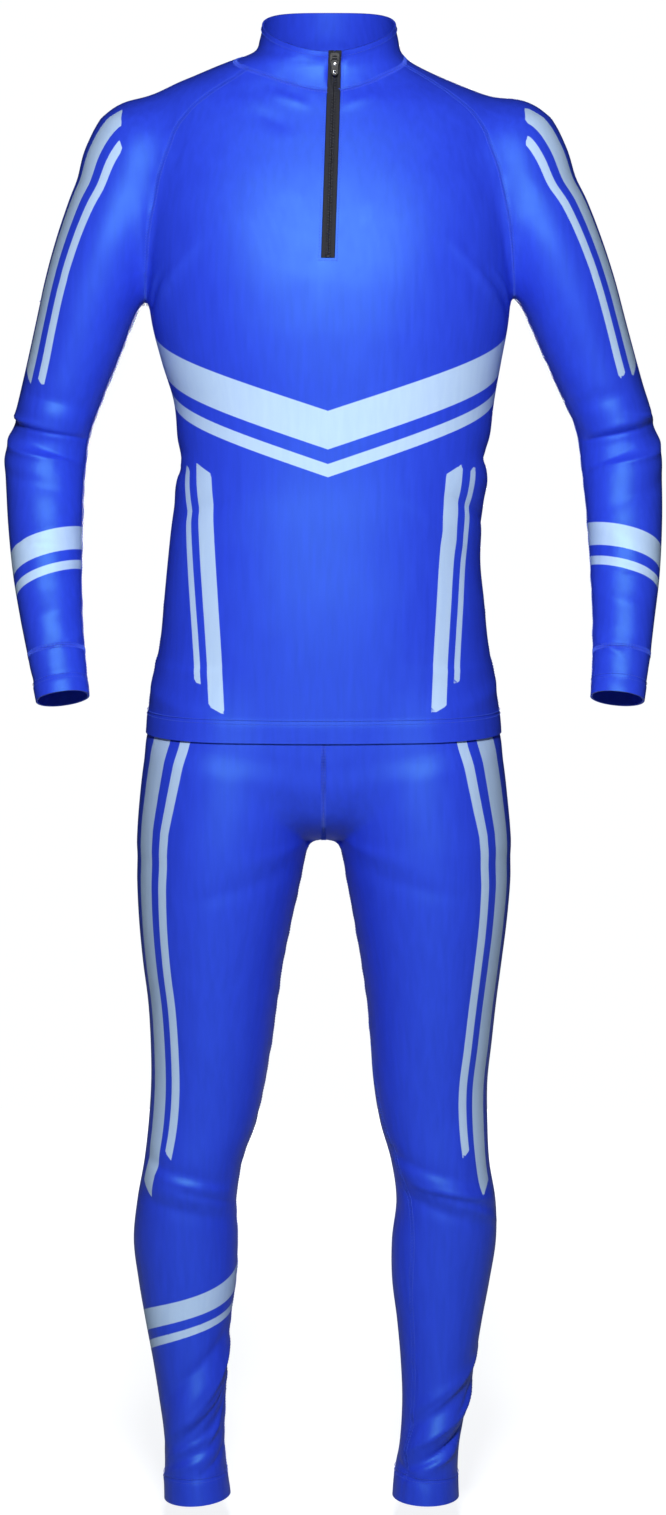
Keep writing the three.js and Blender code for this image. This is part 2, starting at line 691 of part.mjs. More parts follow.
const riseSeams = [riseSeam(-1), riseSeam(1)];

function legRows(index) {
  const side = SIDES[index];
  const crotchDrop = -riseSeams[0][ROWS.rise].z;
  const from = point(section(TORSO, waistDrop).x + side * LEG_CENTRE.out, LEG_CENTRE.y, -waistDrop);
  const to = limbAxis(LEG, side, crotchDrop - LEG_TILT.rise);
  const centres = (share) => from.clone().lerp(to, share);
  const turns = (share) => THREE.MathUtils.degToRad(LEG_TILT.turn * share);
  const level = [riseSeams[0][0], hit(from, point(side, 0, 0)), riseSeams[1][0]];
  const rows = [rowThrough(from, level, [COLUMNS.leg / 2, COLUMNS.leg / 2])];
  rows.push(...limbYoke(riseSeams, centres, turns, side, COLUMNS.leg));
  const hemDrop = ANKLE_DROP - HEM_HEIGHT;
  const drops = limbDrops(crotchDrop, hemDrop, ROWS.legEnd, KNEE_DROP);
  for (const drop of [crotchDrop, ...drops, hemDrop + HEM_STEP, ANKLE_DROP]) {
    rows.push(limbRing(LEG, side, drop, COLUMNS.leg));
  }
  return rows;
}

// Solids

// The same text for points that lie less than 0.0001 mm apart
function placeKey(numbers) {
  return numbers.map((value) => Math.round(value * 1e4)).join();
}

// A closed wall from a grid of points on the figure. The quads that skip() names are left out. Its free
// edges lie half a seam gap inside the grid's, and lift() gives the inside and the outside of the wall
function clothWall(rows, lift, skip = () => false) {
  const ids = new Map();
  const places = [];
  const vertexAt = (r, c) => {
    const p = rows[r][c];
    const key = placeKey([p.x, p.y, p.z]);
    if (!ids.has(key)) {
      ids.set(key, places.length);
      places.push({ p, r, c });
    }
    return ids.get(key);
  };
  const quads = [];
  for (let r = 0; r + 1 < rows.length; r += 1) {
    for (let c = 0; c + 1 < rows[r].length; c += 1) {
      if (!skip(r, c)) {
        quads.push([vertexAt(r, c), vertexAt(r + 1, c), vertexAt(r + 1, c + 1), vertexAt(r, c + 1)]);
      }
    }
  }
  const normals = places.map(({ p }) => outward(p));
  const first = quads[Math.floor(quads.length / 2)].map((id) => places[id].p);
  const facing = first[1].clone().sub(first[0]).cross(first[2].clone().sub(first[0]));
  if (facing.dot(normals[quads[Math.floor(quads.length / 2)][0]]) < 0) {
    quads.forEach((quad) => quad.reverse());
  }
  const edges = freeEdges(quads);
  const insets = edgeInsets(places, normals, edges);
  const inner = [];
  const outer = [];
  places.forEach(({ p, r, c }, id) => {
    const [low, high] = lift(r, c, p);
    const base = p.clone().add(insets[id]);
    const fold = foldHeight(p);
    inner.push(base.clone().addScaledVector(normals[id], low + fold));
    outer.push(base.clone().addScaledVector(normals[id], high + fold));
  });
  return wallGeometry(quads, edges, inner, outer);
}

// Edges that only one quad uses, each in the direction in which that quad runs
function freeEdges(quads) {
  const used = new Map();
  for (const quad of quads) {
    quad.forEach((from, k) => used.set(`${from} ${quad[(k + 1) % 4]}`, [from, quad[(k + 1) % 4]]));
  }
  return [...used.values()].filter(([from, to]) => !used.has(`${to} ${from}`));
}

// How far each point moves so that every free edge shifts inwards by half a seam gap
function edgeInsets(places, normals, edges) {
  const sides = places.map(() => []);
  for (const [from, to] of edges) {
    for (const id of [from, to]) {
      const along = places[to].p.clone().sub(places[from].p);
      sides[id].push(normals[id].clone().cross(along).normalize());
    }
  }
  return sides.map((found) => {
    if (found.length !== 2) {
      return point(0, 0, 0);
    }
    const sum = found[0].clone().add(found[1]);
    return sum.multiplyScalar(SEAM_GAP / 2 / (1 + found[0].dot(found[1])));
  });
}

function wallGeometry(quads, edges, inner, outer) {
  const count = outer.length;
  const corners = [...outer, ...inner];
  const faces = [];
  for (const [a, b, c, d] of quads) {
    const shortAC = outer[a].distanceTo(outer[c]) < outer[b].distanceTo(outer[d]);
    const pair = shortAC ? [[a, b, c], [a, c, d]] : [[a, b, d], [b, c, d]];
    for (const [i, j, k] of pair) {
      faces.push([i, j, k], [k + count, j + count, i + count]);
    }
  }
  for (const [from, to] of edges) {
    faces.push([to, from, from + count], [to, from + count, to + count]);
  }
  const numbers = corners.flatMap((p) => [p.x, p.y, p.z]);
  const geometry = new THREE.BufferGeometry();
  geometry.setAttribute("position", new THREE.Float32BufferAttribute(numbers, 3));
  geometry.setIndex(faces.flat());
  return geometry;
}

// Lifts: the inside and the outside of a wall, from the figure

function plainLift() {
  return [-WALL, 0];
}

// The last two rows of a hemmed piece are thicker
function hemLift(rows) {
  return (r) => [-WALL, r >= rows.length - 2 ? HEM_EXTRA : 0];
}

// The tights lie deeper where the top covers them
function tightsLift(rows) {
  return (r, c, p) => {
    const shown = smoothStep(TOP_HEM_DROP + UNDER_HEM.start, TOP_HEM_DROP + UNDER_HEM.end, -p.z);
    const top = -UNDER_TOP * (1 - shown);
    return [top - WALL, top + (r >= rows.length - 2 ? HEM_EXTRA : 0)];
  };
}

const model = new THREE.Group();

function addMesh(name, geometry, colour, roughness = 0.5, metalness = 0) {
  const material = new THREE.MeshStandardMaterial({ color: colour, roughness, metalness });
  const mesh = new THREE.Mesh(geometry, material);
  mesh.name = name;
  model.add(mesh);
}

function addCloth(name, rows, lift, colour, skip) {
  addMesh(name, clothWall(rows, lift, skip), colour);
}

// The top

const front = frontRows();
const back = backRows();
const sleeves = [0, 1].map(sleeveRows);
const rounding = 0.01;
const zipRow = front.findIndex((row) => row[COLUMNS.frontHalf].z < -ZIP.bottomDrop + rounding);
const isZip = (r, c) => r < zipRow && (c === COLUMNS.frontHalf || c === COLUMNS.frontHalf + 1);

addCloth("top_front", front, hemLift(front), COLOURS.cloth, isZip);
addCloth("top_back", back, hemLift(back), COLOURS.cloth);
addCloth("sleeve_right", sleeves[0], plainLift, COLOURS.cloth);
addCloth("sleeve_left", sleeves[1], plainLift, COLOURS.cloth);
["cuff_right", "cuff_left"].forEach((name, index) => {
  const rows = cuffRows(index);
  addCloth(name, rows, hemLift(rows), COLOURS.trim);
});

// The collar stands on the whole neckline, from one edge of the zip round to the other
const collarFoot = [
  ...front[0].slice(COLUMNS.frontHalf + 2),
  ...sleeves[1][0].slice(1),
  ...back[0].slice(0, -1).reverse(),
  ...sleeves[0][0].slice(0, -1).reverse(),
  ...front[0].slice(1, COLUMNS.frontHalf + 1),
];

function collarRow(lift) {
  const top = neckHeight(0) + COLLAR.height * lift;
  const ends = zipEdges(top).reverse();
  const row = collarFoot.map((p) => neckPoint(Math.atan2(p.x - NECK.middle, NECK.y - p.y), lift));
  row[0] = ends[0];
  row[row.length - 1] = ends[1];
  return row;
}

const collarLifts = [0.45, 0.9, 1];
const collar = [collarFoot, ...collarLifts.map(collarRow)];
addCloth("collar", collar, hemLift(collar), COLOURS.cloth);

// The zip's tape fills its opening from the collar's top edge down, with the chain raised in its middle
function zipTapeRow(left, right) {
  const z = left.z;
  const inner = [-1, 1].map((side) => frontAt(zipX(z) + (side * ZIP.chain) / 2, z));
  return [left, ...inner, right];
}

const collarEdges = collar.slice(1).reverse().map((row) => zipTapeRow(row[row.length - 1], row[0]));
const frontEdges = front.slice(0, zipRow + 1);
const tape = [
  ...collarEdges,
  ...frontEdges.map((row) => zipTapeRow(row[COLUMNS.frontHalf], row[COLUMNS.frontHalf + 2])),
];
const tapeLift = (r, c) => [-WALL, c === 1 || c === 2 ? ZIP.chainLift : 0];
addCloth("zip_tape", tape, tapeLift, COLOURS.zip);

// The tights

const legs = [0, 1].map(legRows);
["leg_right", "leg_left"].forEach((name, index) => {
  addCloth(name, legs[index], tightsLift(legs[index]), COLOURS.cloth);
});

function waistRow(drop) {
  const ring = [...legs[1][0], ...legs[0][0].slice(0, -1).reverse()];
  const centre = point(section(TORSO, waistDrop).x, LEG_CENTRE.y, -drop);
  const raised = (p) => hit(centre, point(p.x - centre.x, p.y - centre.y, 0));
  return drop === waistDrop ? ring : ring.map(raised);
}

const waist = [waistRow(WAISTBAND.drop), waistRow(waistDrop)];
addCloth("waistband", waist, tightsLift([...waist, ...waist]), COLOURS.trim);

// The zip's slider and its pull

function solid(geometry) {
  const index = geometry.index.array;
  const vertices = new Map();
  const numbers = [];
  const names = [];
  const position = geometry.attributes.position;
  for (let k = 0; k < position.count; k += 1) {
    const p = [position.getX(k), position.getY(k), position.getZ(k)];
    const key = placeKey(p);
    if (!vertices.has(key)) {
      vertices.set(key, numbers.length / 3);
      numbers.push(...p);
    }
    names.push(vertices.get(key));
  }
  const triangles = [];
  for (let k = 0; k < index.length; k += 3) {
    const corners = [names[index[k]], names[index[k + 1]], names[index[k + 2]]];
    if (new Set(corners).size === 3) {
      triangles.push(...corners);
    }
  }
  return new wasm.Manifold(new wasm.Mesh({
    numProp: 3,
    vertProperties: new Float32Array(numbers),
    triVerts: new Uint32Array(triangles),
  }));
}

function fromSolid(made) {
  const mesh = made.getMesh();
  const geometry = new THREE.BufferGeometry();
  geometry.setAttribute("position", new THREE.BufferAttribute(new Float32Array(mesh.vertProperties), 3));
  geometry.setIndex(new THREE.BufferAttribute(new Uint32Array(mesh.triVerts), 1));
  return geometry;
}

function block(width, depth, height, x, y, z) {
  return solid(new THREE.BoxGeometry(width, depth, height).translate(x, y, z));
}

// A round bar across the zip
function bar(radius, length, centre, sides) {
  const geometry = new THREE.CylinderGeometry(radius, radius, length, sides).rotateZ(Math.PI / 2);
  return solid(geometry.translate(centre.x, centre.y, centre.z));
}

// A flat outline in X and Z, as thick as given, with its front at y
function plate(outline, thickness, x, y, z) {
  const shape = new THREE.Shape(outline.map(([across, up]) => new THREE.Vector2(across, up)));
  const geometry = new THREE.ExtrudeGeometry(shape, { depth: thickness, bevelEnabled: false });
  geometry.rotateX(Math.PI / 2).translate(x, y + thickness, z);
  geometry.setIndex([...Array(geometry.attributes.position.count).keys()]);
  return solid(geometry);
}

const sliderHeights = [SLIDER.z - SLIDER.height / 2, SLIDER.z, SLIDER.z + SLIDER.height / 2];
const chainY = Math.min(...sliderHeights.map((z) => frontAt(zipX(z), z).y)) - ZIP.chainLift;
const sliderX = zipX(SLIDER.z);
const sliderFace = chainY - SLIDER.gap - SLIDER.depth;
const pin = point(sliderX, sliderFace - PIN.ahead, SLIDER.z + PIN.above);

function sliderSolid() {
  const wide = SLIDER.width / 2;
  const slim = SLIDER.narrow / 2;
  const tall = SLIDER.height / 2;
  const outline = [
    [-slim, -tall],
    [slim, -tall],
    [wide, SLIDER.waist],
    [wide, tall - SLIDER.corner],
    [wide - SLIDER.corner, tall],
    [SLIDER.corner - wide, tall],
    [-wide, tall - SLIDER.corner],
    [-wide, SLIDER.waist],
  ];
  const reach = PIN.ahead + PIN.radius + PIN.cover;
  const earY = sliderFace + (SLIDER.earRoot - reach) / 2;
  let made = plate(outline, SLIDER.depth, sliderX, sliderFace, SLIDER.z);
  for (const side of SIDES) {
    const x = sliderX + side * (PIN.half + PIN.play + SLIDER.ear / 2);
    made = made.add(block(SLIDER.ear, reach + SLIDER.earRoot, SLIDER.earHeight, x, earY, pin.z));
  }
  return made.add(bar(PIN.radius, 2 * (PIN.half + PIN.play) + SLIDER.ear, pin, ROUND_SIDES.small));
}

// The outline of the pull, from the pin: a narrow neck that widens to a tab with a round foot
function pullOutline(foot) {
  const shoulder = -PIN.eye - PULL.neck;
  const right = [
    [PULL.half, shoulder - PULL.slope],
    [PIN.half, shoulder],
    [PIN.half, PULL.top],
  ];
  const left = right.map(([x, z]) => [-x, z]).reverse();
  const round = [];
  for (let k = 0; k <= ROUND_SIDES.end; k += 1) {
    const turn = Math.PI + (Math.PI * k) / ROUND_SIDES.end;
    round.push([PULL.half * Math.cos(turn), foot + PULL.half * Math.sin(turn)]);
  }
  return [...left, ...round, ...right].reverse();
}

function pullSolid() {
  const foot = PULL.half - PULL.length;
  const hole = bar(PULL.hole, 3 * PULL.thickness, point(0, 0, 0), ROUND_SIDES.small)
    .rotate([0, 0, 90])
    .translate([pin.x, pin.y, pin.z + foot]);
  return plate(pullOutline(foot), PULL.thickness, pin.x, pin.y - PULL.thickness / 2, pin.z)
    .add(bar(PIN.eye, 2 * PIN.half, pin, ROUND_SIDES.large))
    .subtract(bar(PIN.bore, 4 * PIN.half, pin, ROUND_SIDES.large))
    .subtract(hole);
}

addMesh("zip_slider", fromSolid(sliderSolid()), COLOURS.slider, 0.35, 0.8);
addMesh("zip_pull", fromSolid(pullSolid()), COLOURS.pull, 0.4, 0.6);

export default model;
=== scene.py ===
import math
import bpy
import numpy as np
from mathutils.kdtree import KDTree
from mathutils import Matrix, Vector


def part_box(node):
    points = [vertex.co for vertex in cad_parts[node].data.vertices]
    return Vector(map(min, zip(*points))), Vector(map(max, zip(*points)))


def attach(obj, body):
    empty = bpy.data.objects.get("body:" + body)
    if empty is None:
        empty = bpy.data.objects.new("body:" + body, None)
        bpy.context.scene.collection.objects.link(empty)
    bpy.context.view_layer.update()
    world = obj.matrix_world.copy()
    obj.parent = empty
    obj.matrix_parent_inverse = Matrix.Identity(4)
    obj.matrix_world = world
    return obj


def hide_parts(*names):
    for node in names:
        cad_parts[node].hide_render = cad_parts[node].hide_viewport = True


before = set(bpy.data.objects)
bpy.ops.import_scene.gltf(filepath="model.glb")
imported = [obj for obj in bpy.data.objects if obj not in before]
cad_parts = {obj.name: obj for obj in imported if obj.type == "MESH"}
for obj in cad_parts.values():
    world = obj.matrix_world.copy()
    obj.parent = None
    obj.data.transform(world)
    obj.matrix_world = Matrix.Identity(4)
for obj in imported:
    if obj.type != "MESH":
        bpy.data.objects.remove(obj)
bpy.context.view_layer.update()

# The race suit is worked out in millimetres, as a height field on a smooth figure, and turned into metres
# where a mesh is made. "Drop" is how far a place lies below the foot of the collar. +X is the wearer's left.
MM = 0.001

# Driving sizes
WALL = 1.2
SEAM_GAP = 0.3
UNDER_TOP = 2.8  # how deep the outside of the tights lies where the top covers them
UNCOVERED = (4, 34)  # how far below the top's hem the tights start to rise from there, and end
HEM_EXTRA = 0.9
HEM_HEIGHTS = {"top": 20, "cuff": 14, "ankle": 24, "collar": 6}
HEM_EDGE = 1.5  # half of the stretch over which a folded hem gets thicker
NECK = {"middle": 0, "y": -8, "front": -20, "rise": 40, "side": 13}
COLLAR = {"height": 38, "dip": 4}
ZIP = {"width": 13.4, "top_x": 6, "top_z": 18, "bottom_x": -1, "bottom_drop": 183}
ZIP_TOP = 19
TOP_HEM_DROP = 664
WAISTBAND = {"drop": 500, "height": 28}
RIBS = {"count": 9, "height": 0.25}  # of the waistband's elastic
ANKLE_DROP = 1457
LEG_TILT = {"turn": 8, "rise": 12}
SLEEVE_TURN = {"neck": 72, "armpit": 14}
SLEEVE_TOP = (62, 4, -66)  # the point about which a sleeve's first row is turned
SLEEVE_RISE = 14
CUFF = {"seam_drop": 579, "end_drop": 622}
SEAM_MIDDLE = 1
SIDE_SEAM_Y = 10
SIDE_SEAM_FADE = 28  # how far below the armpit the side seam reaches that place
TORSO_ASPECT = 1.6
ZIP_SHARE = 0.75  # the share of the front's yoke that lies beside the zip
NECK_FADE = 0.22  # the share of a yoke over which its rows change from the neckline's own line
RING_FADE = 45  # how far below an armpit or the crotch the rows of a limb become square to it
SLEEVE_FORK_ROWS = 20  # how many rows above the armpit run into it, and above the crotch
LEG_FORK_ROWS = 36
TORSO_FORK_ROWS = (14, 10)  # how many rows of the torso above and below an armpit do so

SEAM_STEP = 2.0  # between the seams' points
PUCKER = {"reach": 18.0, "wave": 0.16, "spread": 7, "dip": 0.45, "dip_width": 2.4}
PUCKER_WAVES = ((3.1, 0), (4.7, 1), (7.9, 2))  # the length and the start of each wave along a seam
INSEAM_TURNS = (0, 18)  # how many columns each inseam turns forward
INSEAM_DROPS = (900, 1210)  # between which it does so

# How many strips each piece is divided into
YOKE_ROWS = 64
TORSO_ROWS = 112
SLEEVE_ROWS = 100
RISE_ROWS = 64
LEG_ROWS = 180
JOIN_ROWS = 12
CUFF_ROWS = 14
COLLAR_ROWS = 14
WAIST_ROWS = 28
HALF_COLUMNS = 54
SLEEVE_COLUMNS = 84
LEG_COLUMNS = 120
COLLAR_COLUMNS = 149
WAIST_COLUMNS = 240

# The drops between which a limb's rows lie closer, for its folds, and the share of the rows above each
ELBOW = ((326, 420), (0.13, 0.58))
KNEE_AND_ANKLE = ((1070, 1175, 1285), (0.3, 0.51, 0.63))


def table(columns, rows):
    """Named columns, each with a value for each row."""
    return {name: np.array([row[place] for row in rows]) for place, name in enumerate(columns)}


# Level sections of the figure. Each row: drop, x of the middle line, half width, y of the widest point, y of
# the front, y of the back, and squareness (2 is an ellipse)
TORSO = table(("drop", "middle", "half", "widest", "front", "back", "square"), [
    (-80, 0, 62, -15, -77, 46, 2.0),
    (-50, 0, 65, -12, -75, 52, 2.0),
    (-30, 0, 69, -8, -71, 57, 2.0),
    (-18, -1.5, 73.4, -4, -68, 62, 2.0),
    (-10, -9, 88, -2, -67, 66, 1.95),
    (-3, -12, 103, 0, -66, 70, 1.9),
    (5, -13, 121, 2, -67, 75, 1.85),
    (13, -13, 140, 3, -69, 80, 1.85),
    (21, -10, 156, 4, -72, 84, 1.9),
    (30, -7, 167, 5, -76, 88, 2.0),
    (45, -4, 175, 5, -82, 94, 2.1),
    (70, -3, 180, 5, -92, 102, 2.2),
    (110, -2, 184, 3, -106, 110, 2.3),
    (150, -1, 185, 1, -116, 114, 2.35),
    (200, 0, 183, 0, -122, 113, 2.35),
    (248, 1, 179, -2, -122, 107, 2.35),
    (290, 2.5, 170, -4, -119, 99, 2.35),
    (330, 5, 160.5, -6, -115, 91, 2.35),
    (370, 4.5, 156.8, -8, -112, 85, 2.3),
    (410, 2.5, 154, -9, -110, 83, 2.3),
    (450, -2, 156, -7, -110, 86, 2.3),
    (490, -5, 157.5, -4, -110, 94, 2.3),
    (530, -5, 161.5, 0, -110, 104, 2.3),
    (570, -5, 165.5, 3, -109, 113, 2.3),
    (611, -5.5, 172.5, 6, -107, 119, 2.3),
    (652, -5.5, 176.5, 8, -105, 121, 2.3),
    (690, -5.5, 171, 8, -101, 117, 2.3),
    (720, -5.5, 152, 8, -92, 104, 2.2),
    (745, -5.5, 118, 9, -76, 82, 2.1),
    (762, -5.5, 74, 10, -50, 56, 2.0),
    (772, -5.5, 30, 10, -20, 36, 2.0),
])
TORSO["out"] = np.zeros(len(TORSO["drop"]))

# The same for one leg and one arm, whose middle lies out from the middle line
LEG = table(("drop", "middle", "out", "half", "widest", "front", "back", "square"), [
    (600, -5.5, 84, 78, 6, -86, 100, 2.1),
    (652, -5.5, 90, 83, 6, -95, 112, 2.1),
    (690, -5.5, 94, 87.5, 6, -98, 117, 2.1),
    (735, -5.5, 97.5, 89.5, 6, -99, 117, 2.1),
    (774, -5.2, 102.5, 87.5, 6, -98, 110, 2.1),
    (790, -5.2, 104, 85.5, 6, -97, 107, 2.1),
    (815, -5.4, 106.5, 83.2, 5, -95, 102, 2.1),
    (856, -6.2, 109.3, 77.8, 4, -90, 94, 2.1),
    (898, -6.9, 111, 71.6, 3, -84, 86, 2.1),
    (939, -7.0, 111.4, 66, 2, -78, 79, 2.1),
    (980, -8.0, 112, 62, 1, -72, 73, 2.1),
    (1022, -10.0, 113.4, 58.2, 0, -66, 68, 2.1),
    (1063, -11.2, 118, 55, 0, -61, 64, 2.1),
    (1105, -12.6, 126.3, 50.2, 0, -59, 60, 2.1),
    (1146, -13.0, 132.6, 50.8, 2, -54, 63, 2.1),
    (1188, -14.6, 132.4, 53.4, 6, -49, 71, 2.1),
    (1230, -15.4, 130.2, 50.2, 9, -45, 72, 2.1),
    (1272, -15.8, 129.3, 43.8, 9, -41, 65, 2.1),
    (1314, -15.4, 127.4, 38.5, 8, -39, 56, 2.0),
    (1356, -15.6, 125, 34.2, 7, -38, 50, 2.0),
    (1398, -17.4, 121.2, 30.8, 6, -38, 47, 2.0),
    (1436, -18.5, 118.6, 32.4, 6, -40, 48, 2.0),
    (1475, -17.5, 117, 34.6, 6, -43, 52, 2.0),
])
ARM = table(("drop", "middle", "out", "half", "widest", "front", "back", "square"), [
    (58, -3, 184, 30, 14, -20, 46, 2.0),
    (80, -3, 190, 46, 14, -36, 62, 2.0),
    (109, -2, 197, 53.5, 14, -47, 73, 2.05),
    (129, -1, 203, 56.7, 14, -51, 77, 2.1),
    (168, 0, 217, 57, 14, -52, 77, 2.1),
    (208, 1, 232, 54.2, 15, -48, 74, 2.1),
    (249, 2, 247, 49.4, 17, -42, 70, 2.1),
    (289, 3, 260.5, 46, 19, -35, 68, 2.1),
    (329, 4, 274.5, 42.6, 22, -28, 68, 2.1),
    (360, 5, 285, 40.4, 24, -23, 68, 2.1),
    (389, 4.5, 290, 40.6, 19, -25, 62, 2.1),
    (429, 5.5, 291.6, 38.8, 6, -38, 49, 2.1),
    (468, 6.5, 291.3, 36.8, -9, -51, 32, 2.1),
    (507, 7.5, 289.8, 34.2, -25, -63, 12, 2.1),
    (545, 8.5, 286.4, 31.2, -41, -75, -8, 2.1),
    (584, 10, 282, 28.6, -57, -88, -27, 2.1),
    (620, 11, 277, 26.6, -72, -100, -44, 2.1),
    (650, 11.5, 272.5, 25.2, -84, -112, -57, 2.1),
])
SHOULDER = {"out": 181, "y": 13, "drop": 87, "radii": (58.5, 61, 59.5)}

# How widely the tubes blend where they meet, and the drops between which one blend changes into the next
BLENDS = {"armpit": 16, "shoulder": 24, "upper_arm": 18, "seat": 24, "crotch": 8, "hip": 14}
SEAT_TO_CROTCH = (735, 785)
ARMPIT_TO_SHOULDER = (200, 120)

# How far out from the middle the raglan seams run, on the front and on the back
RAGLAN = table(("drop", "front", "back"), [
    (-25, 40, 40),
    (-3, 79, 72),
    (30, 129, 108),
    (52, 149.5, 126),
    (75, 159.5, 140),
    (101, 168.5, 152),
    (125, 173.5, 161),
    (157, 179, 170),
    (197, 182.5, 178),
    (230, 184.5, 183.5),
    (270, 185.5, 185.5),
])

# Folds, each along a line on a limb or on the torso, for each tube and side of the body. Turn is in degrees
# around it: 0 faces the front, 90 faces away from the body, or to the wearer's left on the torso, and -90 the
# other way. Width is half of the fold's width
FOLD_COLUMNS = ("drop", "turn", "end_drop", "end_turn", "width", "height")
LARGE_FOLDS = {
    ("arm", -1): [
        (350, 95, 378, -45, 11, -3.0),
        (334, 60, 356, -60, 12, 1.8),
        (385, 100, 402, -20, 12, 1.8),
        (125, -20, 225, -62, 13, 2.6),
        (150, -48, 230, -88, 10, -2.2),
        (140, -150, 228, -112, 13, 2.4),
        (500, -70, 516, 40, 12, -1.6),
    ],
    ("arm", 1): [
        (352, 90, 380, -55, 11, -2.8),
        (332, 75, 352, -40, 12, 1.6),
        (388, 80, 405, -35, 12, 2.0),
        (120, -16, 222, -58, 13, 2.4),
        (145, -44, 228, -86, 10, -2.4),
        (135, -148, 226, -110, 13, 2.6),
        (545, -80, 560, 30, 12, -1.6),
    ],
    ("torso", 1): [
        (185, -62, 232, -76, 12, 2.2),
        (190, 60, 232, 75, 12, 2.0),
        (190, 128, 232, 108, 12, 2.2),
        (186, -126, 232, -106, 12, 2.0),
        (372, 70, 392, 112, 13, -2.2),
        (402, 64, 420, 118, 14, 1.8),
        (376, -72, 398, -118, 13, -2.0),
        (408, -66, 424, -112, 14, 1.6),
    ],
    ("leg", 1): [
        (1102, -50, 1150, 60, 13, 2.2),
        (1080, 170, 1098, -120, 14, -2.0),
        (1352, 70, 1412, -60, 11, 2.6),
        (1330, 60, 1384, -50, 9, -1.8),
        (1396, 165, 1424, -110, 10, 2.0),
    ],
    ("leg", -1): [
        (1118, 55, 1140, -45, 13, 1.6),
        (1084, -170, 1100, 125, 14, -2.2),
        (1298, -75, 1388, 50, 11, 3.0),
        (1352, -80, 1404, 20, 9, -2.0),
        (1372, -160, 1410, 110, 10, 2.2),
    ],
}

# The smaller creases between them
SMALL_FOLDS = {
    ("arm", -1): [
        (342, 80, 364, -30, 6, 1.3),
        (362, 105, 390, -10, 6, 1.4),
        (372, 20, 396, -75, 5, -1.2),
        (322, 40, 338, -55, 7, -0.9),
        (400, 60, 420, -40, 8, -0.9),
        (118, -34, 215, -70, 6, 1.1),
        (165, -70, 228, -100, 5, 1.0),
        (440, -60, 470, 30, 10, 0.7),
        (528, -60, 548, 60, 8, 0.8),
        (590, -40, 604, 90, 5, -0.7),
    ],
    ("arm", 1): [
        (340, 70, 360, -35, 6, 1.2),
        (366, 100, 394, -5, 6, 1.3),
        (376, 15, 402, -70, 5, -1.1),
        (318, 30, 336, -60, 7, -0.9),
        (410, 70, 432, -30, 8, -0.8),
        (112, -28, 214, -66, 6, 1.0),
        (160, -66, 228, -98, 5, 1.1),
        (450, -50, 476, 40, 10, 0.7),
        (515, -70, 536, 50, 8, 0.8),
        (594, -60, 606, 70, 5, -0.7),
    ],
    ("torso", 1): [
        (196, -66, 246, -84, 6, -1.2),
        (170, -54, 222, -70, 6, 0.9),
        (198, 63, 248, 84, 6, -1.1),
        (172, 52, 224, 68, 6, 1.0),
        (386, 84, 404, 120, 6, -1.0),
        (420, 58, 452, 92, 7, -1.1),
        (428, 40, 470, 66, 9, 0.8),
        (390, -86, 410, -124, 6, -1.0),
        (424, -52, 446, -84, 8, -0.8),
        (352, 96, 366, 140, 8, -0.8),
        (356, -98, 372, -142, 8, -0.8),
        (612, -92, 640, -50, 9, 0.8),
        (606, 96, 636, 52, 9, 0.8),
        (470, 150, 500, 196, 10, -1.0),
        (440, 164, 462, 200, 9, 0.9),
        (-16, 12, 24, 10, 3.2, 1.3),
        (-14, 21, 18, 17, 3.0, -0.8),
        (22, -34, 34, -12, 4.5, 0.7),
        (24, 36, 35, 14, 4.5, 0.6),
        (40, -40, 56, -24, 6, -0.6),
    ],
    ("leg", 1): [
        (1088, -70, 1120, 30, 7, -0.9),
        (1128, -60, 1168, 50, 7, -0.9),
        (1104, 150, 1112, -130, 7, 1.0),
        (796, -40, 822, 20, 10, -0.8),
        (770, -58, 786, -10, 7, 0.7),
        (1310, 64, 1366, -40, 6, 0.9),
        (1372, 84, 1428, -50, 6, -1.1),
        (1392, 60, 1436, -30, 5, 0.9),
        (1412, -80, 1438, 10, 5, -0.8),
        (1360, 170, 1396, -120, 6, -0.9),
    ],
    ("leg", -1): [
        (1094, 70, 1122, -40, 7, -0.9),
        (1134, 60, 1160, -50, 8, -0.8),
        (1108, -150, 1118, 130, 7, 1.0),
        (798, -44, 826, 16, 10, -0.8),
        (772, -60, 788, -12, 7, 0.7),
        (1280, -60, 1352, 44, 6, -1.0),
        (1328, -78, 1400, 60, 6, 1.1),
        (1384, -60, 1424, 50, 5, -1.0),
        (1404, -30, 1436, 80, 5, 0.9),
        (1340, -165, 1380, 120, 6, -0.9),
    ],
}

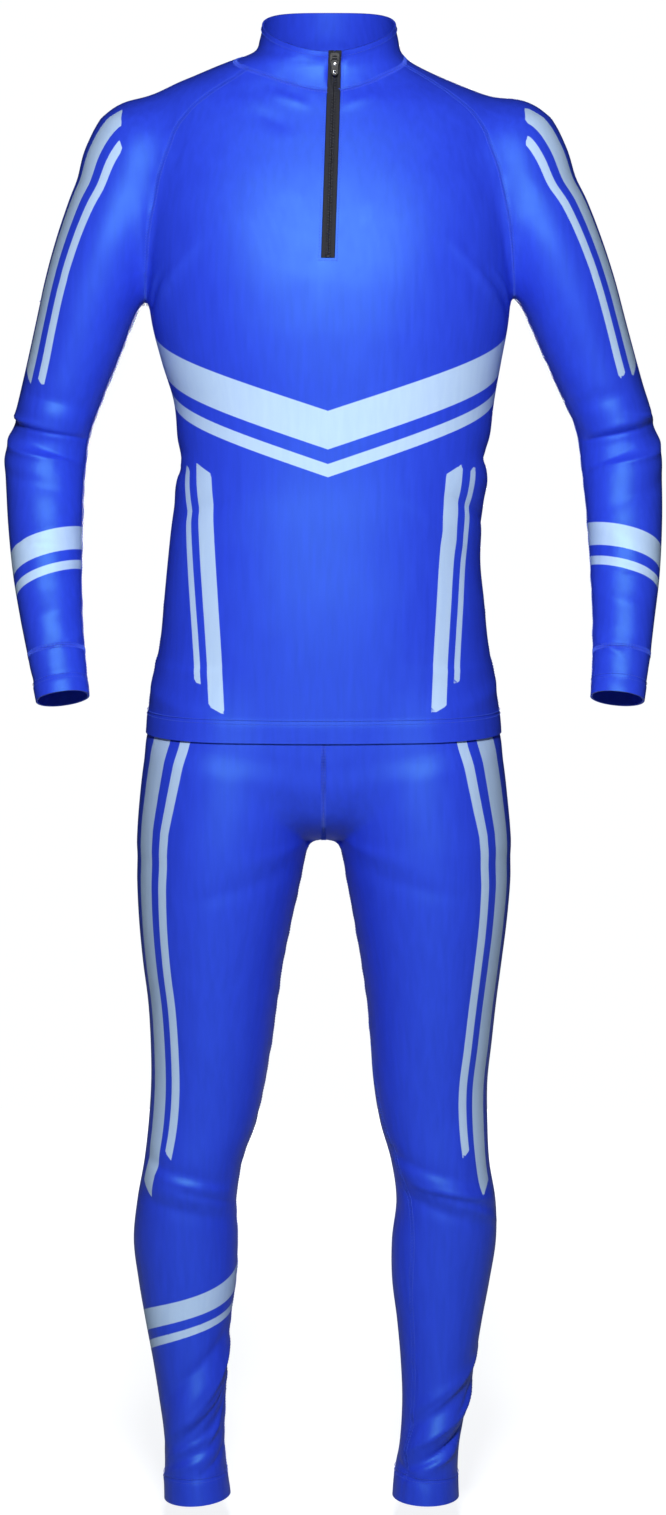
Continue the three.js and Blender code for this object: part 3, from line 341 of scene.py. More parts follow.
# The finest, where the cloth bunches at the elbows, knees and ankles
FINE_FOLDS = {
    ("arm", -1): [
        (350, 80, 368, -62, 2.6, -1.5),
        (344, 100, 350, 20, 2.6, 1.1),
        (376, 60, 392, -60, 2.8, 1.1),
        (466, 50, 474, -40, 2.4, -0.9),
        (556, -70, 572, 10, 2.4, 0.9),
    ],
    ("arm", 1): [
        (350, 72, 370, -58, 2.6, -1.4),
        (340, 20, 350, 96, 2.6, 1.0),
        (380, 66, 396, -50, 2.8, 1.1),
        (486, -50, 498, 44, 2.4, -0.9),
        (562, -64, 576, 0, 2.4, 0.9),
    ],
    ("leg", 1): [
        (1120, -34, 1140, 66, 2.8, 1.0),
        (1130, -8, 1154, 72, 2.6, -1.0),
        (1142, 16, 1166, 80, 2.6, 0.8),
        (1300, 84, 1366, -16, 2.8, 1.2),
        (1322, 88, 1384, 12, 2.8, -1.1),
        (1338, 90, 1406, -36, 2.8, 1.2),
        (1370, 84, 1420, -22, 2.8, -1.1),
        (1400, 60, 1430, -50, 2.6, 1.0),
    ],
    ("leg", -1): [
        (1112, 40, 1130, -50, 2.8, 0.9),
        (1126, 10, 1146, -66, 2.6, -0.8),
        (1292, -84, 1372, 8, 2.8, 1.2),
        (1320, -88, 1396, 26, 2.8, -1.2),
        (1344, -86, 1398, -18, 2.6, 1.1),
        (1374, -60, 1416, 60, 2.8, 1.0),
        (1396, -76, 1426, -6, 2.6, -1.0),
    ],
    ("torso", 1): [
        (196, -70, 232, -82, 3, 1.0),
        (198, 68, 234, 82, 3, 1.0),
        (384, 76, 396, 112, 3, -0.9),
        (394, -74, 408, -114, 3, -0.9),
    ],
}


def named_folds(groups, depth, sharpness):
    return [
        dict(zip(FOLD_COLUMNS, row), tube=tube, side=side, depth=depth, sharpness=sharpness)
        for (tube, side), rows in groups.items()
        for row in rows
    ]


FOLDS = named_folds(LARGE_FOLDS, depth=1.45, sharpness=2)
FOLDS += named_folds(SMALL_FOLDS, depth=2.4, sharpness=1.6)
FOLDS += named_folds(FINE_FOLDS, depth=2.2, sharpness=1.4)
FOLD_FADE = (4, 16)  # how far from its own tube's surface a fold fades out, as at the armpits
FOLD_ENDS = (0.12, 0.88)  # the stretch of half a sine wave that a fold's height follows along it

SIDES = (-1, 1)
HANDS = ("right", "left")


# Tables

def mix(a, b, share):
    return a + (b - a) * share


def smooth_step(start, end, value):
    share = np.clip((value - start) / (end - start), 0, 1)
    return share * share * (3 - 2 * share)


def read_table(rows, places):
    """Every column at each place, on smooth curves through the rows."""
    drops = rows["drop"]
    places = np.clip(places, drops[0], drops[-1])
    k = np.clip(np.searchsorted(drops, places) - 1, 0, len(drops) - 2)
    before = np.maximum(k - 1, 0)
    after = np.minimum(k + 2, len(drops) - 1)
    gap = drops[k + 1] - drops[k]
    t = (places - drops[k]) / gap
    made = {}
    for name, column in rows.items():
        start_slope = (column[k + 1] - column[before]) / (drops[k + 1] - drops[before])
        end_slope = (column[after] - column[k]) / (drops[after] - drops[k])
        made[name] = (
            column[k] * (2 * t**3 - 3 * t**2 + 1)
            + start_slope * gap * (t**3 - 2 * t**2 + t)
            + column[k + 1] * (3 * t**2 - 2 * t**3)
            + end_slope * gap * (t**3 - t**2)
        )
    return made


class Levels:
    """The sections of one tube at each whole millimetre."""

    def __init__(self, rows, inner_x=0.0):
        self.first = rows["drop"][0]
        self.last = rows["drop"][-1]
        self.inner_x = inner_x
        made = read_table(rows, np.arange(self.first, self.last + 1))
        names = ("middle", "out", "half", "widest", "front", "back", "square")
        self.stack = np.array([made[name] for name in names])

    def section(self, drop):
        place = np.clip(np.asarray(drop, float) - self.first, 0, self.stack.shape[1] - 1.000001)
        low = place.astype(int)
        return mix(self.stack[:, low], self.stack[:, low + 1], place - low)


TORSO_LEVELS = Levels(TORSO)
LEG_LEVELS = Levels(LEG)
ARM_LEVELS = Levels(ARM, inner_x=95)
TUBES = {"torso": TORSO_LEVELS, "leg": LEG_LEVELS, "arm": ARM_LEVELS}
FAR = 500.0  # what tube_value gives for points that are nowhere near the tube
TUBE_REACH = 40
STRIDE = 6.0  # of the search for the figure's surface along a path
LONGEST_PATH = 420
HALVINGS = 15
SLIDES = 10  # how many steps bring a point near the surface onto it


# The figure, as a number for each point: below 0 inside, 0 on its surface

def tube_value(levels, side, p):
    drop = -p[:, 2]
    near = (drop > levels.first - TUBE_REACH) & (drop < levels.last + TUBE_REACH)
    near &= np.abs(p[:, 0]) >= levels.inner_x
    value = np.full(len(p), FAR)
    if not near.any():
        return value
    drop = drop[near]
    middle, out, half, widest, front, back, square = levels.section(drop)
    sides = side if np.isscalar(side) else side[near]
    dx = np.abs(p[near, 0] - middle - sides * out)
    dy = p[near, 1] - widest
    reach = np.where(dy < 0, widest - front, back - widest)
    share = ((dx / half) ** square + (np.abs(dy) / reach) ** square) ** (1 / square)
    share = np.maximum(share, 1e-6)
    away = np.maximum(levels.first - drop, drop - levels.last)
    value[near] = np.maximum(np.hypot(dx, dy) * (1 - 1 / share), away)
    return value


def shoulder_value(side, p):
    radii = np.array(SHOULDER["radii"])
    middle = ARM_LEVELS.section(SHOULDER["drop"])[0]
    centre = np.stack([
        middle + side * SHOULDER["out"],
        np.full(len(p), SHOULDER["y"]),
        np.full(len(p), -SHOULDER["drop"]),
    ], axis=1)
    offset = p - centre
    share = np.linalg.norm(offset / radii, axis=1)
    slope = np.maximum(np.linalg.norm(offset / radii**2, axis=1), 1e-9)
    return share * (share - 1) / slope


def blend(a, b, width):
    near = np.maximum(width - np.abs(a - b), 0) / width
    return np.minimum(a, b) - near * near * width / 4


def figure(p):
    drop = -p[:, 2]
    leg_blend = mix(BLENDS["seat"], BLENDS["crotch"], smooth_step(*SEAT_TO_CROTCH, drop))
    legs = blend(tube_value(LEG_LEVELS, -1, p), tube_value(LEG_LEVELS, 1, p), leg_blend)
    body = blend(tube_value(TORSO_LEVELS, 0, p), legs, BLENDS["hip"])
    side = np.where(p[:, 0] < 0, -1, 1)
    arm = blend(tube_value(ARM_LEVELS, side, p), shoulder_value(side, p), BLENDS["upper_arm"])
    arm_blend = mix(BLENDS["armpit"], BLENDS["shoulder"], smooth_step(*ARMPIT_TO_SHOULDER, drop))
    return blend(body, arm, arm_blend)


def unit(vectors):
    return vectors / np.maximum(np.linalg.norm(vectors, axis=-1, keepdims=True), 1e-12)


def figure_slope(p):
    step = 0.5
    slopes = [figure(p + step * axis) - figure(p - step * axis) for axis in np.eye(3)]
    return np.stack(slopes, axis=1) / (2 * step)


def outward(p):
    """The outward direction of the figure's surface at each point."""
    return unit(figure_slope(p))


def leave(path, count):
    """Where each of many paths that start inside the figure first leaves it."""
    everything = np.arange(count)
    far = np.full(count, STRIDE)
    active = everything
    while len(active):
        inside = figure(path(far[active], active)) < 0
        active = active[inside & (far[active] < LONGEST_PATH)]
        far[active] += STRIDE
    near = far - STRIDE
    for _ in range(HALVINGS):
        half = (near + far) / 2
        inside = figure(path(half, everything)) < 0
        near = np.where(inside, half, near)
        far = np.where(inside, far, half)
    return path(far, everything)


def hit(centres, directions):
    """Where lines from inside the figure leave it, for arrays of any shape that end in x, y, z."""
    centres, directions = np.broadcast_arrays(centres, directions)
    shape = directions.shape
    start = centres.reshape(-1, 3).astype(float)
    way = unit(directions.reshape(-1, 3).astype(float))
    found = leave(lambda far, pick: start[pick] + way[pick] * far[:, None], len(start))
    return found.reshape(shape)


def onto_figure(p):
    """The place on the figure's surface close to each point."""
    found = p.reshape(-1, 3)
    for _ in range(SLIDES):
        slope = figure_slope(found)
        length = np.maximum((slope**2).sum(axis=1), 0.25)
        found = found - slope * (figure(found) / length)[:, None]
    return found.reshape(p.shape)


def points(x, y, z):
    return np.stack(np.broadcast_arrays(*(np.asarray(v, float) for v in (x, y, z))), axis=-1)


def front_at(x, z):
    return hit(points(x, 0, z), np.array([0.0, -1.0, 0.0]))


# Lines and rows of points on the figure

def rows_through(centres, stops, counts, aspect=1.0):
    """Rows between stops, turned evenly about a centre inside the figure, which aspect makes narrower."""
    narrow = np.array([aspect, 1.0, 1.0])
    columns = [stops[0]]
    for stretch, count in enumerate(counts):
        start = unit((stops[stretch] - centres) / narrow)
        end = unit((stops[stretch + 1] - centres) / narrow)
        angle = np.arccos(np.clip((start * end).sum(-1, keepdims=True), -1, 1))
        for k in range(1, count):
            share = k / count
            way = start * np.sin((1 - share) * angle) + end * np.sin(share * angle)
            columns.append(way * narrow)
        columns.append(stops[stretch + 1])
    ways = [place for place in range(1, len(columns)) if place not in np.cumsum(counts)]
    found = hit(centres[:, None, :], np.stack([columns[place] for place in ways], axis=1))
    for place, column in zip(ways, np.moveaxis(found, 1, 0)):
        columns[place] = column
    return np.stack(columns, axis=1)


def evenly(line, count):
    """The same line with its points evenly spaced."""
    steps = np.linalg.norm(np.diff(line, axis=0), axis=1)
    along = np.concatenate([[0], np.cumsum(steps)])
    places = np.linspace(0, along[-1], count + 1)
    return np.stack([np.interp(places, along, line[:, k]) for k in range(3)], axis=1)


def seam_down(start, sheet_x, centre, count):
    """A seam from a start to the lowest point of a sheet that is given as x for each drop, round a centre."""
    ahead = start[1] < centre[1]
    first = math.atan2(start[2] - centre[2], start[1] - centre[1])
    if ahead and first < 0:
        first += 2 * math.pi
    last = 1.5 * math.pi if ahead else -0.5 * math.pi
    fine = 4 * count
    turns = mix(first, last, np.arange(1, fine + 1) / fine)

    def path(far, pick):
        z = centre[2] + far * np.sin(turns[pick])
        return points(sheet_x(-z), centre[1] + far * np.cos(turns[pick]), z)

    return onto_figure(evenly(np.concatenate([[start], leave(path, fine)]), count))


def neck_height(angle):
    return NECK["front"] + NECK["rise"] * (1 - np.cos(angle)) / 2 + NECK["side"] * np.sin(angle) ** 2


def neck_points(angles, lift=0.0):
    """The neckline, or the collar above it, at angles from the front towards the wearer's left."""
    angles = np.asarray(angles, float)
    height = COLLAR["height"] - COLLAR["dip"] * np.sin(angles) ** 2
    centres = points(NECK["middle"], NECK["y"], neck_height(angles) + lift * height)
    return hit(centres, points(np.sin(angles), -np.cos(angles), 0))


def seam_angle(side, part):
    """The angle at which a raglan seam leaves the neckline."""
    first = 0.1 if part == "front" else math.pi - 0.1
    angles = np.linspace(first, math.pi / 2, 400)
    found = neck_points(side * angles)
    sheet = read_table(RAGLAN, -found[:, 2])[part]
    short = side * (found[:, 0] - SEAM_MIDDLE) - sheet
    return side * float(np.interp(0, short, angles))


def raglan_seam(side, part):
    start = neck_points([seam_angle(side, part)])[0]
    return seam_down(
        start,
        lambda drop: SEAM_MIDDLE + side * read_table(RAGLAN, drop)[part],
        np.array([0, 14, -150]),
        YOKE_ROWS,
    )


def zip_x(z):
    share = np.clip((ZIP["top_z"] - z) / (ZIP["top_z"] + ZIP["bottom_drop"]), 0, 1)
    return mix(ZIP["top_x"], ZIP["bottom_x"], share)


def zip_edge(side, z):
    return front_at(zip_x(z) + side * ZIP["width"] / 2, z)


def limb_axis(levels, side, drop):
    middle, out, _, widest, *_ = levels.section(drop)
    return points(middle + side * out, widest, -np.asarray(drop, float))


def limb_rings(levels, side, drops, count):
    """Closed rings square to a limb's axis, from the side that faces the body round by the front."""
    reach = 18
    centres = limb_axis(levels, side, drops)
    axis = unit(limb_axis(levels, side, drops + reach) - limb_axis(levels, side, drops - reach))
    inner = unit(np.array([-side, 0.0, 0.0]) + axis * side * axis[:, :1])
    front = np.cross(axis, inner)
    front *= np.where(front[:, 1:2] > 0, -1, 1)
    turns = (2 * math.pi * np.arange(count) / count)[None, :, None]
    found = hit(centres[:, None], inner[:, None] * np.cos(turns) + front[:, None] * np.sin(turns))
    return np.concatenate([found, found[:, :1]], axis=1)


def limb_yoke(seams, centres, turns, side, columns):
    """The rows of an open yoke between two seams, which narrows into a limb."""
    share = np.linspace(0, 1, len(centres))[:, None]
    near = columns // 4
    far = columns // 2 - near
    outer = points(side * np.cos(turns), 0, np.sin(turns))
    bow = 1.2 * share * share

    def quarter(end, y):
        way = unit(unit(end - centres) + outer + np.array([0, y, 0]) * bow)
        return hit(centres, way)

    stops = [seams[0], quarter(seams[0], -1), hit(centres, outer), quarter(seams[1], 1), seams[1]]
    return rows_through(centres, stops, [near, far, far, near])


def start_from(grid, centres, first):
    """Bends the first rows of a grid so that it starts on a line of its own."""
    share = np.linspace(0, 1, len(grid))
    shift = (first - grid[0])[None] * (1 - smooth_step(0, NECK_FADE, share))[:, None, None]
    count = int(len(grid) * NECK_FADE) + 1
    target = grid[:count] + shift[:count]
    bent = hit(centres[:count, None], target - centres[:count, None])
    bent[:, [0, -1]] = grid[:count, [0, -1]]
    bent[0] = first
    return np.concatenate([bent, grid[count:]])


def fork_rows(upper, lower, seams):
    """Rows from one row of a limb's yoke to its first ring, past the fork where the yoke's two seams meet."""
    down = np.linspace(0, 1, len(seams[0]))[:, None, None]
    share = np.linspace(0, 1, len(upper))
    rows = mix(upper[None], lower[None], down)
    shifts = [(seams[0] - rows[:, 0], 1 - share), (seams[1] - rows[:, -1], share)]
    for shift, near in shifts:
        rows = rows + shift[:, None] * near[None, :, None] ** 2
    rows = onto_figure(rows)
    rows[:, 0] = seams[0]
    rows[:, -1] = seams[1]
    return rows[1:-1]


def past_fork(yoke, rings, count):
    """A limb's whole grid, from its yoke and its rings, whose first column is the seam below the fork."""
    first = len(yoke) - 1 - count
    below = onto_figure(mix(yoke[-1, 0], rings[0, 0], np.linspace(0, 1, JOIN_ROWS + 1)[:, None]))
    below[0], below[-1] = yoke[-1, 0], rings[0, 0]
    seams = [np.concatenate([yoke[first:, column], below[1:]]) for column in (0, -1)]
    return np.concatenate([yoke[:first + 1], fork_rows(yoke[first], rings[0], seams), rings])


def past_armpits(grid):
    """The same grid of a torso piece, with the rows beside the armpits laid out anew."""
    first = YOKE_ROWS - TORSO_FORK_ROWS[0]
    last = YOKE_ROWS + TORSO_FORK_ROWS[1]
    seams = [grid[first:last + 1, column] for column in (0, -1)]
    return np.concatenate([grid[:first + 1], fork_rows(grid[first], grid[last], seams), grid[last:]])


# The grids of the pieces

FRONT_SEAMS = [raglan_seam(side, "front") for side in SIDES]
BACK_SEAMS = [raglan_seam(side, "back") for side in SIDES]
for front_seam, back_seam in zip(FRONT_SEAMS, BACK_SEAMS):
    back_seam[-1] = front_seam[-1]
ARMPIT_DROP = float(np.mean([-seam[-1, 2] for seam in FRONT_SEAMS]))
WAIST_DROP = WAISTBAND["drop"] + WAISTBAND["height"]


def side_seam(side, drops):
    """The side seam below the armpit, which it leaves at the raglan seam's own end."""
    end = FRONT_SEAMS[SIDES.index(side)][-1]
    y = mix(end[1], SIDE_SEAM_Y, smooth_step(ARMPIT_DROP, ARMPIT_DROP + SIDE_SEAM_FADE, drops))
    centres = points(TORSO_LEVELS.section(drops)[0], y, -drops)
    return hit(centres, np.array([float(side), 0, 0]))


def torso_drops():
    return np.linspace(ARMPIT_DROP, TOP_HEM_DROP, TORSO_ROWS + 1)[1:]


def uneven_drops(first, last, count, stops, shares):
    """Drops from first to last, of which the given shares lie above the stops between them."""
    return np.interp(np.linspace(0, 1, count + 1), [0, *shares, 1], [first, *stops, last])


def torso_centres(drops):
    return points(TORSO_LEVELS.section(drops)[0], 0, -drops)


def torso_grid(yoke_stops, neckline, lower_stops, counts):
    """The front's or the back's grid, from the lines that its columns are counted between."""
    centres = points(0, 0, mix(-60, -ARMPIT_DROP, np.linspace(0, 1, YOKE_ROWS + 1)))
    yoke = start_from(rows_through(centres, yoke_stops, counts, TORSO_ASPECT), centres, neckline)
    lower = rows_through(torso_centres(torso_drops()), lower_stops, counts, TORSO_ASPECT)
    return past_armpits(np.concatenate([yoke, lower]))


def front_grid():
    share = np.linspace(0, 1, YOKE_ROWS + 1)
    drop = np.interp(share, [0, ZIP_SHARE, 1], [-neck_height(0), ZIP["bottom_drop"], ARMPIT_DROP])
    yoke_stops = [FRONT_SEAMS[0], zip_edge(-1, -drop), zip_edge(1, -drop), FRONT_SEAMS[1]]
    neckline = front_neckline(*(stop[0] for stop in yoke_stops))
    drops = torso_drops()
    lower_stops = [side_seam(-1, drops), zip_edge(-1, -drops), zip_edge(1, -drops), side_seam(1, drops)]
    return torso_grid(yoke_stops, neckline, lower_stops, [HALF_COLUMNS, 2, HALF_COLUMNS])


def front_neckline(left, zip_left, zip_right, right):
    angles = [seam_angle(side, "front") for side in SIDES]
    zips = [math.atan2(p[0] - NECK["middle"], NECK["y"] - p[1]) for p in (zip_left, zip_right)]
    first = neck_points(np.linspace(angles[0], zips[0], HALF_COLUMNS + 1))
    last = neck_points(np.linspace(zips[1], angles[1], HALF_COLUMNS + 1))
    first[0], first[-1], last[0], last[-1] = left, zip_left, zip_right, right
    return np.concatenate([first, [(zip_left + zip_right) / 2], last])


def back_grid():
    behind = np.array([0.0, 1.0, 0.0])
    z = -mix(-neck_height(math.pi), ARMPIT_DROP, np.linspace(0, 1, YOKE_ROWS + 1))
    yoke_stops = [BACK_SEAMS[0], hit(points(0, 0, z), behind), BACK_SEAMS[1]]
    angles = [seam_angle(-1, "back"), seam_angle(1, "back") - 2 * math.pi]
    neckline = neck_points(np.linspace(*angles, 2 * HALF_COLUMNS + 1))
    neckline[0], neckline[-1] = BACK_SEAMS[0][0], BACK_SEAMS[1][0]
    drops = torso_drops()
    lower_stops = [side_seam(-1, drops), hit(torso_centres(drops), behind), side_seam(1, drops)]
    return torso_grid(yoke_stops, neckline, lower_stops, [HALF_COLUMNS] * 2)


def sleeve_grid(index):
    side = SIDES[index]
    seams = [FRONT_SEAMS[index], BACK_SEAMS[index]]
    share = np.linspace(0, 1, YOKE_ROWS + 1)
    ring_drop = ARMPIT_DROP - SLEEVE_RISE
    end = limb_axis(ARM_LEVELS, side, ring_drop)
    centres = mix(np.array(SLEEVE_TOP) * [side, 1, 1], end, share[:, None])
    turns = np.radians(mix(SLEEVE_TURN["neck"], SLEEVE_TURN["armpit"], share))
    yoke = limb_yoke(seams, centres, turns, side, SLEEVE_COLUMNS)
    angles = [seam_angle(side, part) for part in ("front", "back")]
    neckline = neck_points(np.linspace(*angles, SLEEVE_COLUMNS + 1))
    neckline[0], neckline[-1] = seams[0][0], seams[1][0]
    yoke = start_from(yoke, centres, neckline)
    drops = uneven_drops(ring_drop + RING_FADE, CUFF["seam_drop"], SLEEVE_ROWS, *ELBOW)
    rings = limb_rings(ARM_LEVELS, side, drops, SLEEVE_COLUMNS)
    return past_fork(yoke, rings, SLEEVE_FORK_ROWS)


def cuff_grid(index):
    drops = np.linspace(CUFF["seam_drop"], CUFF["end_drop"], CUFF_ROWS + 1)
    return limb_rings(ARM_LEVELS, SIDES[index], drops, SLEEVE_COLUMNS)


def rise_seam(direction):
    middle = TORSO_LEVELS.section(WAIST_DROP)[0]
    start = hit(points(middle, 0, -WAIST_DROP), np.array([0.0, direction, 0.0]))
    return seam_down(
        start,
        lambda drop: TORSO_LEVELS.section(drop)[0],
        np.array([0, 10, -WAIST_DROP - 90]),
        RISE_ROWS,
    )


RISE_SEAMS = [rise_seam(-1.0), rise_seam(1.0)]
RISE_SEAMS[1][-1] = RISE_SEAMS[0][-1]
CROTCH_DROP = float(-RISE_SEAMS[0][-1, 2])


def leg_grid(index):
    side = SIDES[index]
    share = np.linspace(0, 1, RISE_ROWS + 1)
    start = points(TORSO_LEVELS.section(WAIST_DROP)[0] + side * 50, 5, -WAIST_DROP)
    end = limb_axis(LEG_LEVELS, side, CROTCH_DROP - LEG_TILT["rise"])
    centres = mix(start, end, share[:, None])
    yoke = limb_yoke(RISE_SEAMS, centres, np.radians(LEG_TILT["turn"] * share), side, LEG_COLUMNS)
    outer = hit(start, np.array([float(side), 0, 0]))
    stops = [RISE_SEAMS[0][None, 0], outer[None], RISE_SEAMS[1][None, 0]]
    level = rows_through(start[None], stops, [LEG_COLUMNS // 2] * 2)[0]
    yoke = start_from(yoke, centres, level)
    drops = uneven_drops(CROTCH_DROP + RING_FADE, ANKLE_DROP, LEG_ROWS, *KNEE_AND_ANKLE)
    rings = limb_rings(LEG_LEVELS, side, drops, LEG_COLUMNS)
    return past_fork(yoke, rings, LEG_FORK_ROWS)


def waist_grid():
    drops = np.linspace(WAISTBAND["drop"], WAIST_DROP, WAIST_ROWS + 1)
    turns = np.linspace(0, 2 * math.pi, WAIST_COLUMNS + 1)
    ways = points(np.sin(turns), -np.cos(turns), 0)
    centres = points(TORSO_LEVELS.section(WAIST_DROP)[0], 5, -drops)
    found = hit(centres[:, None], ways[None])
    found[:, -1] = found[:, 0]
    return found


def collar_grid():
    rows = []
    for lift in np.linspace(0, 1, COLLAR_ROWS + 1):
        z = neck_height(0) + COLLAR["height"] * lift
        ends = [zip_edge(side, z) for side in (1, -1)]
        turns = [math.atan2(p[0] - NECK["middle"], NECK["y"] - p[1]) for p in ends]
        row = neck_points(np.linspace(turns[0], turns[1] + 2 * math.pi, COLLAR_COLUMNS + 1), lift)
        row[0], row[-1] = ends
        rows.append(row)
    return np.array(rows)


# Relief: how far the cloth stands out from the figure

def row_drops(grid):
    return -grid[:, :, 2].mean(axis=1)


def fold_height(p):
    height = np.zeros(len(p))
    drop = -p[:, 2]
    for fold in FOLDS:
        levels = TUBES[fold["tube"]]
        middle = (fold["drop"] + fold["end_drop"]) / 2
        beyond = np.abs(drop - middle) - abs(fold["end_drop"] - fold["drop"]) / 2
        pick = np.nonzero(beyond < 3 * fold["width"])[0]
        if not len(pick):
            continue
        side = 0 if fold["tube"] == "torso" else fold["side"]
        near = 1 - smooth_step(*FOLD_FADE, tube_value(levels, side, p[pick]))
        pick, near = pick[near > 0], near[near > 0]
        height[pick] += near * fold_shape(fold, levels, p[pick])
    return height


def wrap_turn(turn):
    return turn - 360 * np.round(turn / 360)


def fold_shape(fold, levels, p):
    middle, out, _, widest, *_ = levels.section(-p[:, 2])
    dx = (p[:, 0] - middle - fold["side"] * out) * fold["side"]
    dy = p[:, 1] - widest
    per_degree = np.hypot(dx, dy) * math.pi / 180
    turn = np.degrees(np.arctan2(dx, -dy))
    span = wrap_turn(fold["end_turn"] - fold["turn"])
    start = wrap_turn(turn - fold["turn"] - span / 2) + span / 2
    length = (span * per_degree, fold["end_drop"] - fold["drop"])
    place = (start * per_degree, -p[:, 2] - fold["drop"])
    share = (place[0] * length[0] + place[1] * length[1]) / (length[0] ** 2 + length[1] ** 2)
    held = np.clip(share, 0, 1)
    away = np.hypot(place[0] - held * length[0], place[1] - held * length[1])
    fade = np.sin(math.pi * mix(*FOLD_ENDS, held))
    return fold["height"] * fold["depth"] * fade * np.exp(-((away / fold["width"]) ** fold["sharpness"]))


def seam_lines():
    """The lines along which the pieces are sewn to each other, top to bottom."""
    lines = [*FRONT_SEAMS, *BACK_SEAMS]
    drops = np.linspace(ARMPIT_DROP, TOP_HEM_DROP, 90)
    lines += [side_seam(side, drops) for side in SIDES]
    lines += [sleeve[YOKE_ROWS:, 0] for sleeve in SLEEVES]
    lines += [cuff[:, 0] for cuff in CUFFS] + [cuff[0] for cuff in CUFFS]
    lines.append(COLLAR_GRID[0])
    return lines


def inseam(leg, turn):
    """A leg's seam, which turns towards the front below the knee by a number of columns."""
    rows = np.arange(RISE_ROWS, len(leg) - 1)
    shift = turn * smooth_step(*INSEAM_DROPS, row_drops(leg)[rows])
    column = shift.astype(int)
    return mix(leg[rows, column], leg[rows, column + 1], (shift - column)[:, None])


def leg_seam_lines():
    """The same for the tights, from where the top's hem uncovers them."""
    lines = [seam[-seam[:, 2] > TOP_HEM_DROP - 6] for seam in RISE_SEAMS]
    return lines + [inseam(leg, turn) for leg, turn in zip(LEGS, INSEAM_TURNS)]


def seam_tree():
    """All the seams' points, evenly spaced, for finding the nearest one."""
    found = []
    for line in seam_lines() + leg_seam_lines():
        length = np.linalg.norm(np.diff(line, axis=0), axis=1).sum()
        found.append(evenly(line, max(int(length / SEAM_STEP), 2)))
    found = np.concatenate(found)
    tree = KDTree(len(found))
    for k, place in enumerate(found):
        tree.insert(place, k)
    tree.balance()
    return tree


def pucker(p):
    """Cloth dips to a seam and puckers a little along it."""
    height = np.zeros(len(p))
    for k, place in enumerate(p):
        _, index, away = SEAM_TREE.find(place)
        if away < PUCKER["reach"]:
            along = index * SEAM_STEP
            wave = sum(math.sin(along / length + start) for length, start in PUCKER_WAVES)
            wave *= math.exp(-((away / PUCKER["spread"]) ** 2))
            height[k] = PUCKER["wave"] * wave - PUCKER["dip"] * math.exp(-((away / PUCKER["dip_width"]) ** 2))
    return height


def relief(p):
    return fold_height(p) + pucker(p)


# Meshes

NO_BAND = -30.0  # how far the cloth lies from any pale band, where there are none


def add_object(name, verts, faces, material, smooth=True):
    mesh = bpy.data.meshes.new(name)
    mesh.from_pydata((np.asarray(verts) * MM).tolist(), [], faces)
    mesh.polygons.foreach_set("use_smooth", [smooth] * len(mesh.polygons))
    mesh.update()
    obj = bpy.data.objects.new(name, mesh)
    bpy.context.scene.collection.objects.link(obj)
    mesh.materials.append(material)
    return obj


def grid_quads(rows, columns, skip):
    r, c = np.meshgrid(np.arange(rows - 1), np.arange(columns - 1), indexing="ij")
    r, c = r.ravel(), c.ravel()
    if skip is not None:
        keep = ~skip(r, c)
        r, c = r[keep], c[keep]
    corner = r * columns + c
    return np.stack([corner, corner + columns, corner + columns + 1, corner + 1], axis=1)


def free_edges(quads):
    """Edges that only one quad uses, in the direction in which it runs."""
    edges = np.concatenate([quads[:, [k, (k + 1) % 4]] for k in range(4)])
    low, high = edges.min(axis=1), edges.max(axis=1)
    key = low.astype(np.int64) * (quads.max() + 1) + high
    _, where, uses = np.unique(key, return_index=True, return_counts=True)
    return edges[where[uses == 1]]


def edge_insets(places, normals, edges):
    """How far each point moves so that every free edge shifts inwards by half a seam gap."""
    along = places[edges[:, 1]] - places[edges[:, 0]]
    inward = [unit(np.cross(normals[edges[:, k]], along)) for k in range(2)]
    total = np.zeros_like(places)
    uses = np.zeros(len(places))
    for k in range(2):
        np.add.at(total, edges[:, k], inward[k])
        np.add.at(uses, edges[:, k], 1)
    square = (total**2).sum(axis=1) / 2
    scale = np.where((uses == 2) & (square > 0.5), SEAM_GAP / 2 / np.maximum(square, 0.5), 0)
    return total * scale[:, None]


